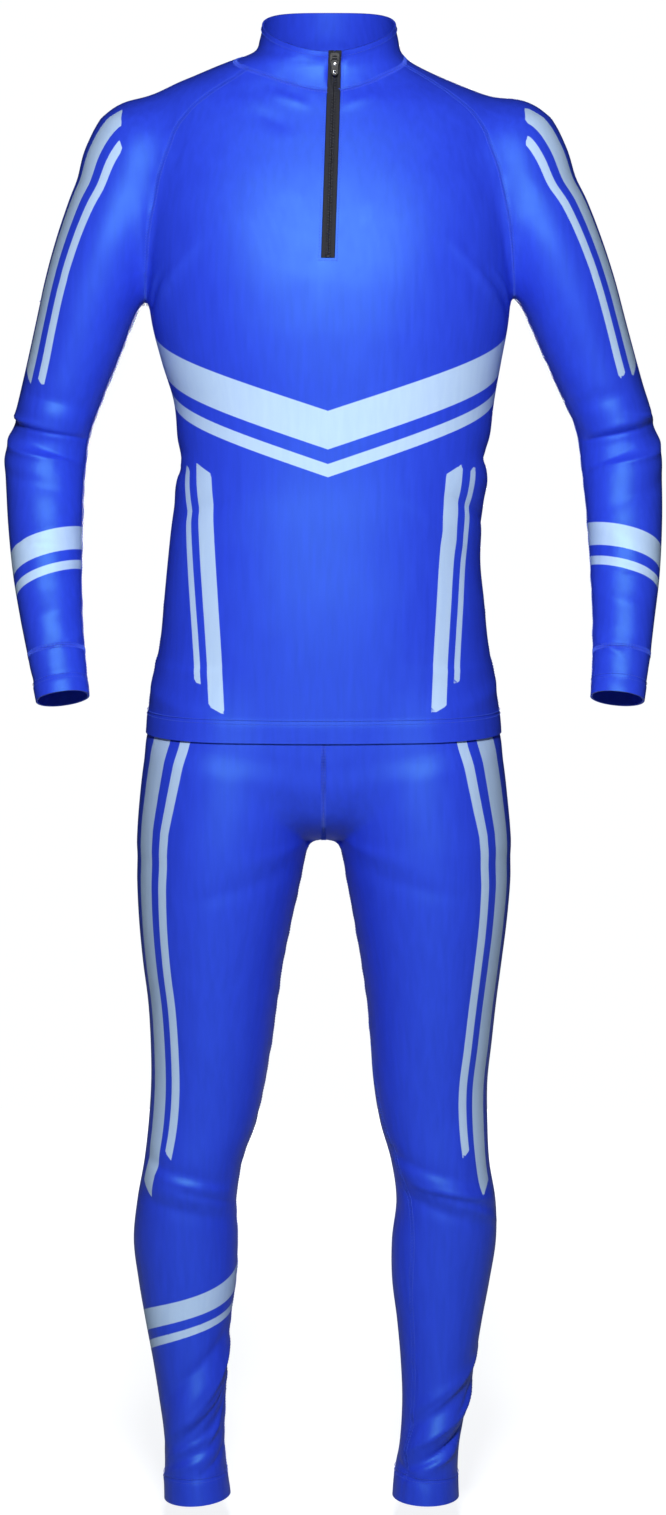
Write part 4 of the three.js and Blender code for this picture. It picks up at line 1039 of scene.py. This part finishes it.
def cloth_shell(name, grid, material, high=None, low=None, skip=None, pale=None, along=None):
    """A thin shell on the figure from a grid of points. high and low give the lift of its outside and inside
    for each row, pale the printed band and along the distance down the cloth."""
    rows, columns = grid.shape[:2]
    high = np.zeros(rows) if high is None else high
    low = np.full(rows, -WALL) if low is None else low
    flat = grid.reshape(-1, 3)
    microns = np.round(flat * 1000).astype(np.int64)
    _, first, ids = np.unique(microns, axis=0, return_index=True, return_inverse=True)
    ids = ids.ravel()
    places = flat[first]
    row_of = first // columns
    grid_faces = grid_quads(rows, columns, skip)
    quads = ids[grid_faces]
    normals = outward(places)
    middle = quads[len(quads) // 2]
    facing = np.cross(places[middle[1]] - places[middle[0]], places[middle[2]] - places[middle[0]])
    if facing @ normals[middle[0]] < 0:
        quads, grid_faces = quads[:, ::-1], grid_faces[:, ::-1]
    edges = free_edges(quads)
    base = places + edge_insets(places, normals, edges)
    height = relief(places)
    outer = base + normals * (height + high[row_of])[:, None]
    inner = base + normals * (height + low[row_of])[:, None]
    count = len(places)
    rim = np.stack([edges[:, 1], edges[:, 0], edges[:, 0] + count, edges[:, 1] + count], axis=1)
    faces = np.concatenate([quads, quads[:, ::-1] + count, rim])
    obj = add_object(name, np.concatenate([outer, inner]), faces.tolist(), material)
    mark_sharp(obj.data, edges, count)
    along = np.repeat(row_drops(grid)[:, None], columns, axis=1) if along is None else along
    pale = np.full((rows, columns), NO_BAND) if pale is None else pale
    fields = {"across": cloth_across(grid), "along": along, "pale": pale}
    nearest = np.zeros(count, int)
    nearest[ids] = np.arange(len(ids))
    corner_ids = np.concatenate([grid_faces, grid_faces[:, ::-1], nearest[rim % count]]).ravel()
    for field, values in fields.items():
        attribute = obj.data.attributes.new(field, "FLOAT", "CORNER")
        attribute.data.foreach_set("value", values.ravel()[corner_ids].astype(np.float32))
    return obj


def mark_sharp(mesh, edges, count):
    """Keeps the rim of a shell from blurring the shading of its two faces."""
    wanted = {tuple(sorted(pair)) for pair in edges.tolist()}
    wanted |= {tuple(sorted((a + count, b + count))) for a, b in edges.tolist()}
    sharp = [tuple(sorted(edge.vertices)) in wanted for edge in mesh.edges]
    attribute = mesh.attributes.new("sharp_edge", "BOOLEAN", "EDGE")
    attribute.data.foreach_set("value", sharp)


def cloth_across(grid):
    """The distance along each row from its middle column."""
    steps = np.linalg.norm(np.diff(grid, axis=1), axis=2)
    along = np.concatenate([np.zeros((len(grid), 1)), np.cumsum(steps, axis=1)], axis=1)
    return along - along[:, [grid.shape[1] // 2]]


def cloth_along(grid):
    """The distance down a limb, the same all along a row, measured on its outer side."""
    outer = grid[:, grid.shape[1] // 2]
    steps = np.linalg.norm(np.diff(outer, axis=0), axis=1)
    along = np.concatenate([[0], np.cumsum(steps)])
    return np.repeat(along[:, None], grid.shape[1], axis=1)


# The printed bands, as the distance inside a band's edge. The chevrons' sizes are their drops at the middle
# of the front and of the back, their drops at the sides, and half their widths

CHEVRONS = {"front": (352, 392), "back": (232, 272), "side": (272, 312), "half": (19, 6.5)}


def chevron(share, along, middle, side, half):
    """A band that runs straight from the middle of the front or back to the side seams."""
    return half - np.abs(along - mix(middle, side, share))


def strip(across, along, start, end, halves, slant=0.0):
    """A straight band between two places, which narrows from one half width to the other."""
    way = np.array(end, float) - np.array(start, float)
    length = np.hypot(*way)
    way = way / length
    dx, dy = across - start[0], along - start[1]
    run = dx * way[0] + dy * way[1]
    off = dx * way[1] - dy * way[0]
    half = mix(halves[0], halves[1], np.clip(run / length, 0, 1))
    tilted = run + slant * off
    return np.minimum(half - np.abs(off), np.minimum(tilted, length - tilted))


def hoop(across, along, place, half, slope=0.0):
    return (half - np.abs(along - place - slope * across)) / math.hypot(1, slope)


def most(*bands):
    return np.maximum.reduce(bands)


def torso_bands(grid, part):
    across = np.abs(cloth_across(grid))
    share = across / np.maximum(across[:, :1], across[:, -1:])
    drop = -grid[:, :, 2]
    chevrons = zip(CHEVRONS[part], CHEVRONS["side"], CHEVRONS["half"])
    return most(
        *(chevron(share, drop, *sizes) for sizes in chevrons),
        strip(across, drop, (132, 392), (112, 632), (10, 8), 0.6),
        strip(across, drop, (158, 392), (134, 606), (4.2, 3.6), 0.6),
    )


def sleeve_bands(grid):
    across, along = cloth_across(grid), cloth_along(grid)
    return most(
        strip(across, along, (-36, 150), (-26, 432), (12, 10), 0.5),
        strip(across, along, (-64, 172), (-50, 432), (5.0, 4.5), 0.5),
        hoop(across, along, 640, 12, 0.25),
        hoop(across, along, 668, 4.6, 0.25),
    )


def leg_bands(grid, calf):
    """The bands of a leg, with hoops round its calf or without."""
    across, along = cloth_across(grid), cloth_along(grid)
    bands = [
        strip(across, along, (-62, 96), (-34, 600), (17, 10), 0.6),
        strip(across, along, (-101, 96), (-59, 560), (6.5, 4.5), 0.6),
    ]
    if calf:
        bands += [hoop(across, along, 752, 11, 0.3), hoop(across, along, 778, 4.4, 0.3)]
    return most(*bands)


# Materials

MOST_NOISE = (0.3, 0.7)  # the range in which most of a noise's values lie


def new_material(name, roughness, metallic=0.0, specular=0.5):
    material = bpy.data.materials.new(name)
    material.use_nodes = True
    shader = material.node_tree.nodes["Principled BSDF"]
    shader.inputs["Roughness"].default_value = roughness
    shader.inputs["Metallic"].default_value = metallic
    shader.inputs["Specular IOR Level"].default_value = specular
    return material, material.node_tree, shader


def add_node(tree, kind, **settings):
    node = tree.nodes.new(kind)
    for name, value in settings.items():
        setattr(node, name, value)
    return node


def attribute_node(tree, name):
    return add_node(tree, "ShaderNodeAttribute", attribute_name=name)


def mix_colours(tree, factor, a, b):
    node = add_node(tree, "ShaderNodeMix", data_type="RGBA")
    for socket, value in ((node.inputs[0], factor), (node.inputs[6], a), (node.inputs[7], b)):
        if isinstance(value, bpy.types.NodeSocket):
            tree.links.new(value, socket)
        else:
            socket.default_value = value
    return node.outputs[2]


def map_range(tree, value, source, target):
    node = add_node(tree, "ShaderNodeMapRange")
    tree.links.new(value, node.inputs["Value"])
    names = ("From Min", "From Max", "To Min", "To Max")
    for name, number in zip(names, (*source, *target)):
        node.inputs[name].default_value = number
    return node.outputs["Result"]


def noise(tree, scale, detail=3.0, stretch=(1, 1, 1)):
    place = add_node(tree, "ShaderNodeTexCoord")
    mapping = add_node(tree, "ShaderNodeMapping")
    mapping.inputs["Scale"].default_value = stretch
    tree.links.new(place.outputs["Object"], mapping.inputs["Vector"])
    node = add_node(tree, "ShaderNodeTexNoise")
    node.inputs["Scale"].default_value = scale
    node.inputs["Detail"].default_value = detail
    tree.links.new(mapping.outputs["Vector"], node.inputs["Vector"])
    return node.outputs["Fac"]


def maths(tree, operation, a, b=0.0):
    node = add_node(tree, "ShaderNodeMath", operation=operation)
    for socket, value in zip(node.inputs, (a, b)):
        if isinstance(value, bpy.types.NodeSocket):
            tree.links.new(value, socket)
        else:
            socket.default_value = value
    return node.outputs[0]


def add_bump(tree, shader, height, strength, distance):
    bump = add_node(tree, "ShaderNodeBump")
    bump.inputs["Strength"].default_value = strength
    bump.inputs["Distance"].default_value = distance * MM
    tree.links.new(height, bump.inputs["Height"])
    tree.links.new(bump.outputs["Normal"], shader.inputs["Normal"])


def knit_height(tree, wale, course):
    """The loops of a fine knit, as waves across and along the cloth, whose periods are in millimetres."""
    waves = []
    for name, period in (("across", wale), ("along", course)):
        turns = maths(tree, "MULTIPLY", attribute_node(tree, name).outputs["Fac"], 2 * math.pi / period)
        waves.append(maths(tree, "SINE", turns))
    return maths(tree, "ADD", maths(tree, "MULTIPLY", waves[0], waves[1]), waves[0])


BLUE = (0.027, 0.062, 0.78, 1)
BLUE_DEEP = (0.023, 0.053, 0.7, 1)
PALE = (0.53, 0.71, 1, 1)
PALE_DEEP = (0.49, 0.67, 0.98, 1)


def mottle(tree, shader, texture, dark, light):
    """Colours a surface unevenly between two shades. Texture is a noise's scale and detail."""
    colour = mix_colours(tree, noise(tree, *texture), (*dark, 1), (*light, 1))
    tree.links.new(colour, shader.inputs["Base Color"])


def vary_gloss(tree, shader, texture, roughness):
    rough = map_range(tree, noise(tree, *texture), MOST_NOISE, roughness)
    tree.links.new(rough, shader.inputs["Roughness"])


def lycra_material():
    material, tree, shader = new_material("lycra", 0.46, specular=0.6)
    shader.inputs["Specular Tint"].default_value = (0.3, 0.95, 1, 1)
    streaks = map_range(tree, noise(tree, 60, 4, (3, 3, 0.35)), MOST_NOISE, (0, 1))
    mask = map_range(tree, attribute_node(tree, "pale").outputs["Fac"], (-0.4, 0.4), (0, 1))
    blue = mix_colours(tree, streaks, BLUE_DEEP, BLUE)
    pale = mix_colours(tree, streaks, PALE_DEEP, PALE)
    tree.links.new(mix_colours(tree, mask, blue, pale), shader.inputs["Base Color"])
    vary_gloss(tree, shader, (35, 3), (0.4, 0.48))
    add_bump(tree, shader, knit_height(tree, 1.1, 0.8), 0.25, 0.12)
    return material


def thread_material():
    material, tree, shader = new_material("thread", 0.5, specular=0.4)
    mottle(tree, shader, (900, 2), (0.03, 0.075, 0.6), (0.06, 0.14, 0.86))
    add_bump(tree, shader, noise(tree, 2400, 1), 0.3, 0.1)
    return material


def elastic_material():
    material, tree, shader = new_material("elastic", 0.7)
    mottle(tree, shader, (220, 3), (0.02, 0.05, 0.34), (0.035, 0.085, 0.5))
    add_bump(tree, shader, knit_height(tree, 1.6, 1.0), 0.5, 0.3)
    return material


def tape_material():
    material, tree, shader = new_material("zip_tape", 0.75)
    mottle(tree, shader, (500, 3), (0.006, 0.007, 0.012), (0.02, 0.022, 0.034))
    add_bump(tree, shader, knit_height(tree, 0.9, 0.9), 0.5, 0.2)
    return material


def teeth_material():
    material, tree, shader = new_material("zip_teeth", 0.4)
    mottle(tree, shader, (300, 2), (0.008, 0.009, 0.013), (0.02, 0.021, 0.028))
    vary_gloss(tree, shader, (700, 2), (0.34, 0.5))
    return material


def enamel_material():
    material, tree, shader = new_material("black_enamel", 0.5, specular=0.3)
    mottle(tree, shader, (260, 3), (0.008, 0.008, 0.01), (0.024, 0.025, 0.03))
    vary_gloss(tree, shader, (900, 3), (0.42, 0.58))
    add_bump(tree, shader, noise(tree, 1500, 2), 0.15, 0.05)
    return material


def bright_material():
    material, tree, shader = new_material("bright_metal", 0.25, metallic=1.0)
    mottle(tree, shader, (800, 3), (0.6, 0.62, 0.66), (0.85, 0.86, 0.88))
    vary_gloss(tree, shader, (1200, 2), (0.18, 0.34))
    return material


FLOOR_GLOW = 0.78  # how much paler the floor looks to the camera, as on a light table
PALE_GREY = (0.98, 0.99, 1, 1)


def seen_strength(tree, unseen, seen):
    """One strength for the camera and another for everything else."""
    camera_ray = add_node(tree, "ShaderNodeLightPath").outputs["Is Camera Ray"]
    return map_range(tree, camera_ray, (0, 1), (unseen, seen))


def floor_material():
    material, tree, shader = new_material("floor", 0.9, specular=0.1)
    mottle(tree, shader, (3, 2), (0.36, 0.37, 0.38), (0.38, 0.39, 0.4))
    shader.inputs["Emission Color"].default_value = PALE_GREY
    tree.links.new(seen_strength(tree, 0, FLOOR_GLOW), shader.inputs["Emission Strength"])
    return material


LYCRA = lycra_material()
THREAD = thread_material()
ELASTIC = elastic_material()
TAPE = tape_material()
TEETH = teeth_material()
ENAMEL = enamel_material()
BRIGHT = bright_material()


def place_piece(obj, node=None, body="suit"):
    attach(obj, body)
    if node:
        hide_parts(node)


# The cloth

def hem_high(drops, end, height):
    """The extra thickness of a folded hem, for each row."""
    return HEM_EXTRA * smooth_step(end - height - HEM_EDGE, end - height + HEM_EDGE, drops)


def under_top(drops):
    """The lift of the tights' outside, which lies deeper where the top covers it."""
    return -UNDER_TOP * (1 - smooth_step(*UNCOVERED, drops - TOP_HEM_DROP))


FRONT = front_grid()
BACK = back_grid()
SLEEVES = [sleeve_grid(index) for index in range(2)]
CUFFS = [cuff_grid(index) for index in range(2)]
LEGS = [leg_grid(index) for index in range(2)]
COLLAR_GRID = collar_grid()
WAIST = waist_grid()
ZIP_ROW = round(YOKE_ROWS * ZIP_SHARE)
SEAM_TREE = seam_tree()


def beside_zip(r, c):
    return (r < ZIP_ROW) & ((c == HALF_COLUMNS) | (c == HALF_COLUMNS + 1))


# The node that each piece stands for, and what it was cut to in metres: width, length and area
PIECES = {
    "front_panel": ("top_front", 0.47, 0.68, 0.262),
    "back_panel": ("top_back", 0.43, 0.70, 0.235),
    "stand_collar": ("collar", 0.41, 0.042, 0.0158),
    "elastic_waistband": ("waistband", 0.8, 0.028, 0.0224),
}
for hand in HANDS:
    PIECES[f"{hand}_sleeve"] = (f"sleeve_{hand}", 0.38, 0.66, 0.172)
    PIECES[f"{hand}_cuff"] = (f"cuff_{hand}", 0.17, 0.043, 0.0073)
    PIECES[f"{hand}_leg"] = (f"leg_{hand}", 0.56, 1.0, 0.345)


def add_cloth(name, grid, high=None, low=None, material=LYCRA, slot="lycra", **more):
    obj = cloth_shell(name, grid, material, high, low, **more)
    node, width, length, area = PIECES[name]
    place_piece(obj, node)


def make_torso():
    for name, grid, part, skip in (
        ("front_panel", FRONT, "front", beside_zip),
        ("back_panel", BACK, "back", None),
    ):
        high = hem_high(row_drops(grid), TOP_HEM_DROP, HEM_HEIGHTS["top"])
        add_cloth(name, grid, high, skip=skip, pale=torso_bands(grid, part), along=-grid[:, :, 2])


def make_limbs():
    for hand, sleeve, cuff, leg in zip(HANDS, SLEEVES, CUFFS, LEGS):
        add_cloth(f"{hand}_sleeve", sleeve, pale=sleeve_bands(sleeve), along=cloth_along(sleeve))
        cuff_drops = np.linspace(CUFF["seam_drop"], CUFF["end_drop"], len(cuff))
        high = hem_high(cuff_drops, CUFF["end_drop"], HEM_HEIGHTS["cuff"])
        add_cloth(f"{hand}_cuff", cuff, high, along=cloth_along(cuff))
        leg_drops = row_drops(leg)
        covered = under_top(leg_drops)
        high = covered + hem_high(leg_drops, ANKLE_DROP, HEM_HEIGHTS["ankle"])
        pale = leg_bands(leg, calf=hand == "right")
        add_cloth(f"{hand}_leg", leg, high, covered - WALL, pale=pale, along=cloth_along(leg))


def make_collar():
    lifts = np.linspace(0, 1, len(COLLAR_GRID)) * COLLAR["height"]
    high = hem_high(lifts, COLLAR["height"], HEM_HEIGHTS["collar"])
    add_cloth("stand_collar", COLLAR_GRID, high, along=cloth_along(COLLAR_GRID))


def make_waistband():
    ribs = RIBS["height"] * np.sin(np.linspace(0, RIBS["count"] * 2 * math.pi, len(WAIST)))
    low = np.full(len(WAIST), -UNDER_TOP - WALL)
    add_cloth("elastic_waistband", WAIST, ribs - UNDER_TOP, low, ELASTIC, "elastic", along=cloth_along(WAIST))


# Stitching

def on_cloth(line, lift):
    """A line's points on the outside of the cloth, with their outward directions."""
    normals = outward(line)
    return line + normals * (relief(line) + lift)[:, None], normals


def frames_along(line, pitch, lift=0.0):
    """Evenly spaced places on the cloth along a line, with their forward, sideways and outward directions."""
    length = np.linalg.norm(np.diff(line, axis=0), axis=1).sum()
    spaced = evenly(line, max(int(length / pitch), 2))
    lifts = lift(spaced) if callable(lift) else np.full(len(spaced), lift)
    places, normals = on_cloth(spaced, lifts)
    ahead = unit(np.gradient(places, axis=0))
    side = unit(np.cross(normals, ahead))
    return places, ahead, side, np.cross(ahead, side)


def ring_faces(rings, sides, looped=False):
    """The faces of a skin over rings of points, with flat ends unless it runs back to its first ring."""
    count = rings * sides
    faces = []
    for k in range(rings if looped else rings - 1):
        for j in range(sides):
            a, b = k * sides + j, k * sides + (j + 1) % sides
            faces.append((a, b, (b + sides) % count, (a + sides) % count))
    if not looped:
        faces += [tuple(range(sides))[::-1], tuple(range(count - sides, count))]
    return faces


def thread_shape(sides, bends):
    """A short thread from bends of (place along it, height, radius), with closed ends."""
    turns = 2 * math.pi * np.arange(sides) / sides
    verts = [(x, r * math.cos(t), z + r * math.sin(t)) for x, z, r in bends for t in turns]
    return np.array(verts), ring_faces(len(bends), sides)


def stamped(shape, frames):
    """Copies of a small shape at places on the cloth, as one list of points and one of faces."""
    verts, faces = shape
    places, x, y, z = frames
    found = (
        places[:, None]
        + verts[None, :, 0:1] * x[:, None]
        + verts[None, :, 1:2] * y[:, None]
        + verts[None, :, 2:3] * z[:, None]
    ).reshape(-1, 3)
    copies = [tuple(k * len(verts) + corner for corner in face) for k in range(len(places)) for face in faces]
    return found, copies


def joined_frames(groups):
    return [np.concatenate(parts) for parts in zip(*groups)]


def offset_line(line, away):
    """The same line moved sideways on the cloth."""
    normals = outward(line)
    side = unit(np.cross(normals, unit(np.gradient(line, axis=0))))
    return line + side * away


def bridge_thread(sides, foot, knee, sunk, risen):
    """A thread over the cloth. Its feet and knees each have a distance from its middle and a radius."""
    ends = [(-foot[0], sunk, foot[1]), (-knee[0], risen, knee[1])]
    return thread_shape(sides, ends + [(-x, z, r) for x, z, r in reversed(ends)])


STITCH = bridge_thread(5, (1.1, 0.16), (0.55, 0.3), -0.25, 0.16)
CROSS_THREAD = bridge_thread(4, (2.7, 0.2), (1.6, 0.27), 0.0, 0.36)
STITCH_PITCH = 2.9
CROSS_PITCH = 1.5
NEEDLE_OFFSET = 2.3
STITCH_ROWS = {"top": (18, 22), "cuff": (13.0, 16.5), "ankle": (24.0, 28.0)}  # how far above each hem's edge
ZIP_STITCHES = {"away": 2.2, "below": 2.4, "foot": (-9.4, 7.4)}


def make_flatlock(name, lines, lift=0.0):
    """Flatlock seams: threads that cross the seam between two rows of stitches."""
    rows, crossings = [], []
    for line in lines:
        places, ahead, side, up = frames_along(line, CROSS_PITCH, lift)
        crossings.append((places, side, -ahead, up))
        for away in (-NEEDLE_OFFSET, NEEDLE_OFFSET):
            rows.append(frames_along(offset_line(line, away), STITCH_PITCH, lift))
    for part, shape, groups in (("needle", STITCH, rows), ("cover", CROSS_THREAD, crossings)):
        verts, faces = stamped(shape, joined_frames(groups))
        place_piece(add_object(f"{name}_{part}_threads", verts, faces, THREAD))


def make_stitches(name, lines, lift=0.0):
    frames = [frames_along(line, STITCH_PITCH, lift) for line in lines]
    verts, faces = stamped(STITCH, joined_frames(frames))
    place_piece(add_object(name, verts, faces, THREAD))


def level_line(drop):
    """A line round the torso at a drop, as two halves."""
    rows = []
    for grid in (FRONT, BACK):
        nearest = int(np.abs(row_drops(grid) - drop).argmin())
        rows.append(grid[nearest])
    return rows


def zip_line(side, away):
    """A line beside the zip, from the top of the collar to the zip's foot."""
    z = np.linspace(ZIP_TOP - 1, -ZIP["bottom_drop"] - away, 120)
    return front_at(zip_x(z) + side * (ZIP["width"] / 2 + away), z)


def hem_rings(levels, end, gaps, columns):
    """Lines round both limbs, at some gaps above the end."""
    places = [(side, np.array([end - gap])) for side in SIDES for gap in gaps]
    return [limb_rings(levels, side, drop, columns)[0] for side, drop in places]


def make_sewing():
    make_flatlock("top_flatlock", seam_lines())
    make_flatlock("tights_flatlock", leg_seam_lines(), lambda p: under_top(-p[:, 2]))
    hems = [line for gap in STITCH_ROWS["top"] for line in level_line(TOP_HEM_DROP - gap)]
    make_stitches("top_hem_stitches", hems, HEM_EXTRA)
    rings = hem_rings(ARM_LEVELS, CUFF["end_drop"], STITCH_ROWS["cuff"], SLEEVE_COLUMNS)
    make_stitches("cuff_stitches", rings, HEM_EXTRA * 0.6)
    rings = hem_rings(LEG_LEVELS, ANKLE_DROP, STITCH_ROWS["ankle"], LEG_COLUMNS)
    make_stitches("ankle_stitches", rings, HEM_EXTRA * 0.7)
    make_stitches("collar_stitches", [COLLAR_GRID[-3]], HEM_EXTRA)
    foot = front_at(np.linspace(*ZIP_STITCHES["foot"], 12), -ZIP["bottom_drop"] - ZIP_STITCHES["below"])
    beside = [zip_line(side, ZIP_STITCHES["away"]) for side in SIDES]
    make_stitches("zip_topstitches", [*beside, foot])


# The zip

TOOTH_PITCH = 1.3
TOOTH = {"inner": -0.5, "outer": 2.7, "half": 0.55, "low": -0.5, "high": 0.95}
TAPE_SPAN = (0.35, ZIP["width"] / 2 - 0.15)  # from the zip's middle line
TAPE_LIFTS = (-0.25, -0.95)


def tape_grid(side):
    z = np.linspace(ZIP_TOP, -ZIP["bottom_drop"] + 0.2, 120)
    offsets = np.linspace(*TAPE_SPAN, 10)
    return front_at(zip_x(z)[:, None] + side * offsets[None], z[:, None] + 0 * offsets[None])


def tooth_shape():
    """A moulded tooth with sloping shoulders and a rounded head, across the zip from its own side."""
    low, high = TOOTH["low"], TOOTH["high"]
    inner, outer = TOOTH["inner"], TOOTH["outer"]
    shoulder = [(outer, low), (outer, high - 0.45), (outer - 0.5, high)]
    profile = shoulder + [(inner + 0.4, high), (inner, high - 0.4), (inner, low)]
    middle = (inner + outer) / 2
    levels = ((-1.0, 0.72), (-0.6, 1.0), (0.6, 1.0), (1.0, 0.72))
    verts = [
        (middle + (x - middle) * size, share * TOOTH["half"], low + (z - low) * size)
        for share, size in levels
        for x, z in profile
    ]
    return np.array(verts), ring_faces(len(levels), len(profile))


def make_tapes():
    for side, hand in zip(SIDES, HANDS):
        grid = tape_grid(side)
        high, low = (np.full(len(grid), lift) for lift in TAPE_LIFTS)
        obj = cloth_shell(f"{hand}_zip_tape", grid, TAPE, high, low)
        place_piece(obj, "zip_tape")


def make_teeth():
    """The teeth reach over the middle line in turn, from one side and the other."""
    z = np.arange(ZIP_TOP - 1.0, -ZIP["bottom_drop"] + 1.2, -TOOTH_PITCH)
    line = front_at(zip_x(z), z)
    normals = outward(line)
    ahead = unit(np.gradient(line, axis=0))
    across = unit(np.cross(ahead, normals))
    across *= np.sign(across[:, :1])
    hand = np.where(np.arange(len(z)) % 2, 1.0, -1.0)[:, None]
    verts, faces = stamped(tooth_shape(), (line, across * hand, ahead, normals))
    place_piece(add_object("zip_teeth", verts, faces, TEETH), "zip_tape")


def make_zip_stop():
    """The block that ends the chain at the foot of the zip."""
    z = -ZIP["bottom_drop"] + 1.6
    place = front_at(zip_x(z), z)
    normal = outward(place[None])[0]
    up = unit(np.cross(normal, np.array([1.0, 0, 0])))
    shape = thread_shape(8, [(-2.9, 0, 0.7), (-2.5, 0, 1.2), (2.5, 0, 1.2), (2.9, 0, 0.7)])
    across = np.cross(up, normal)
    verts, faces = stamped(shape, [v[None] for v in (place, across, up, normal)])
    place_piece(add_object("zip_bottom_stop", verts, faces, TEETH))


def finish_slider():
    """The two solids stay, with soft edges and enamel, and the pull gets a stud and an eyelet."""
    for node in ("zip_slider", "zip_pull"):
        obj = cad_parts[node]
        obj.data.materials.clear()
        obj.data.materials.append(ENAMEL)
        bevel = obj.modifiers.new("soft_edges", "BEVEL")
        bevel.width = 0.3 * MM
        bevel.segments = 2
        bevel.limit_method = "ANGLE"
    low, high = (np.array(corner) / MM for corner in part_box("zip_pull"))
    x, y = (low[0] + high[0]) / 2, low[1] + 1.35
    for name, z, hole in (("pull_stud", high[2] - 8.0, 0.0), ("pull_eyelet", low[2] + 3.2, 1.2)):
        verts, faces = stud_shape(1.75, hole, 0.55)
        place = np.array([x, y, z])
        found = place + verts[:, [0]] * [1, 0, 0] + verts[:, [1]] * [0, 0, 1] + verts[:, [2]] * [0, -1, 0]
        place_piece(add_object(name, found, faces, BRIGHT), body="zip_pull")


def stud_shape(radius, hole, height, sides=28):
    """A low round stud, or a ring round a hole."""
    profile = [(radius, -0.3), (radius, height * 0.4)]
    profile += [(radius * 0.86, height * 0.85), (radius * 0.62, height)]
    if hole:
        profile += [(hole, height * 0.6), (hole, -0.3)]
    else:
        profile += [(radius * 0.3, height * 1.12), (0.05, height * 1.15)]
    turns = 2 * math.pi * np.arange(sides) / sides
    verts = [(r * math.cos(t), r * math.sin(t), z) for r, z in profile for t in turns]
    return np.array(verts), ring_faces(len(profile), sides, looped=bool(hole))


# The camera, the lights and the floor

CAMERA = {"x": 0.004, "distance": 5.2, "height": -0.06, "aim": -0.69, "lens": 122.85}
FLOOR = {"z": -1490, "half": 3000, "front": -2500, "back": 2300}


def add_camera():
    data = bpy.data.cameras.new("camera")
    data.sensor_fit = "VERTICAL"
    data.sensor_height = 36
    data.lens = CAMERA["lens"]
    camera = bpy.data.objects.new("camera", data)
    bpy.context.scene.collection.objects.link(camera)
    camera.location = (CAMERA["x"], -CAMERA["distance"], CAMERA["height"])
    tilt = math.atan2(CAMERA["height"] - CAMERA["aim"], CAMERA["distance"])
    camera.rotation_euler = (math.pi / 2 - tilt, 0, 0)
    bpy.context.scene.camera = camera


def add_light(name, place, aim, size, power):
    data = bpy.data.lights.new(name, "AREA")
    data.shape = "RECTANGLE"
    data.size, data.size_y = size
    data.energy = power
    light = bpy.data.objects.new(name, data)
    light.location = place
    way = np.array(aim) - np.array(place)
    flat = math.hypot(way[0], way[1])
    light.rotation_euler = (math.atan2(flat, -way[2]), 0, math.atan2(way[1], way[0]) - math.pi / 2)
    bpy.context.scene.collection.objects.link(light)


def add_lights():
    add_light("key", (-0.02, -2.6, 0.6), (0, 0, -0.4), (0.35, 0.35), 82)
    add_light("fill", (0, -4.5, -0.6), (0, 0, -0.9), (0.4, 1.2), 3)
    add_light("back", (0.1, 3.6, -0.2), (0, 0, -0.7), (0.7, 1.2), 90)
    bpy.context.scene.view_settings.view_transform = "Standard"


def add_world():
    """A pale background for the camera, and a dim even light for all else."""
    world = bpy.data.worlds.new("studio")
    world.use_nodes = True
    tree = world.node_tree
    background = tree.nodes["Background"]
    background.inputs["Color"].default_value = PALE_GREY
    tree.links.new(seen_strength(tree, 0.02, 1.02), background.inputs["Strength"])
    bpy.context.scene.world = world


def add_floor():
    half, front, back = FLOOR["half"], FLOOR["front"], FLOOR["back"]
    corners = [(x, y, FLOOR["z"]) for x, y in ((-half, front), (half, front), (half, back), (-half, back))]
    add_object("floor", corners, [(0, 1, 2, 3)], floor_material())


add_camera()
add_lights()
add_world()
add_floor()
make_torso()
make_limbs()
make_collar()
make_waistband()
make_tapes()
make_teeth()
make_zip_stop()
finish_slider()
make_sewing()
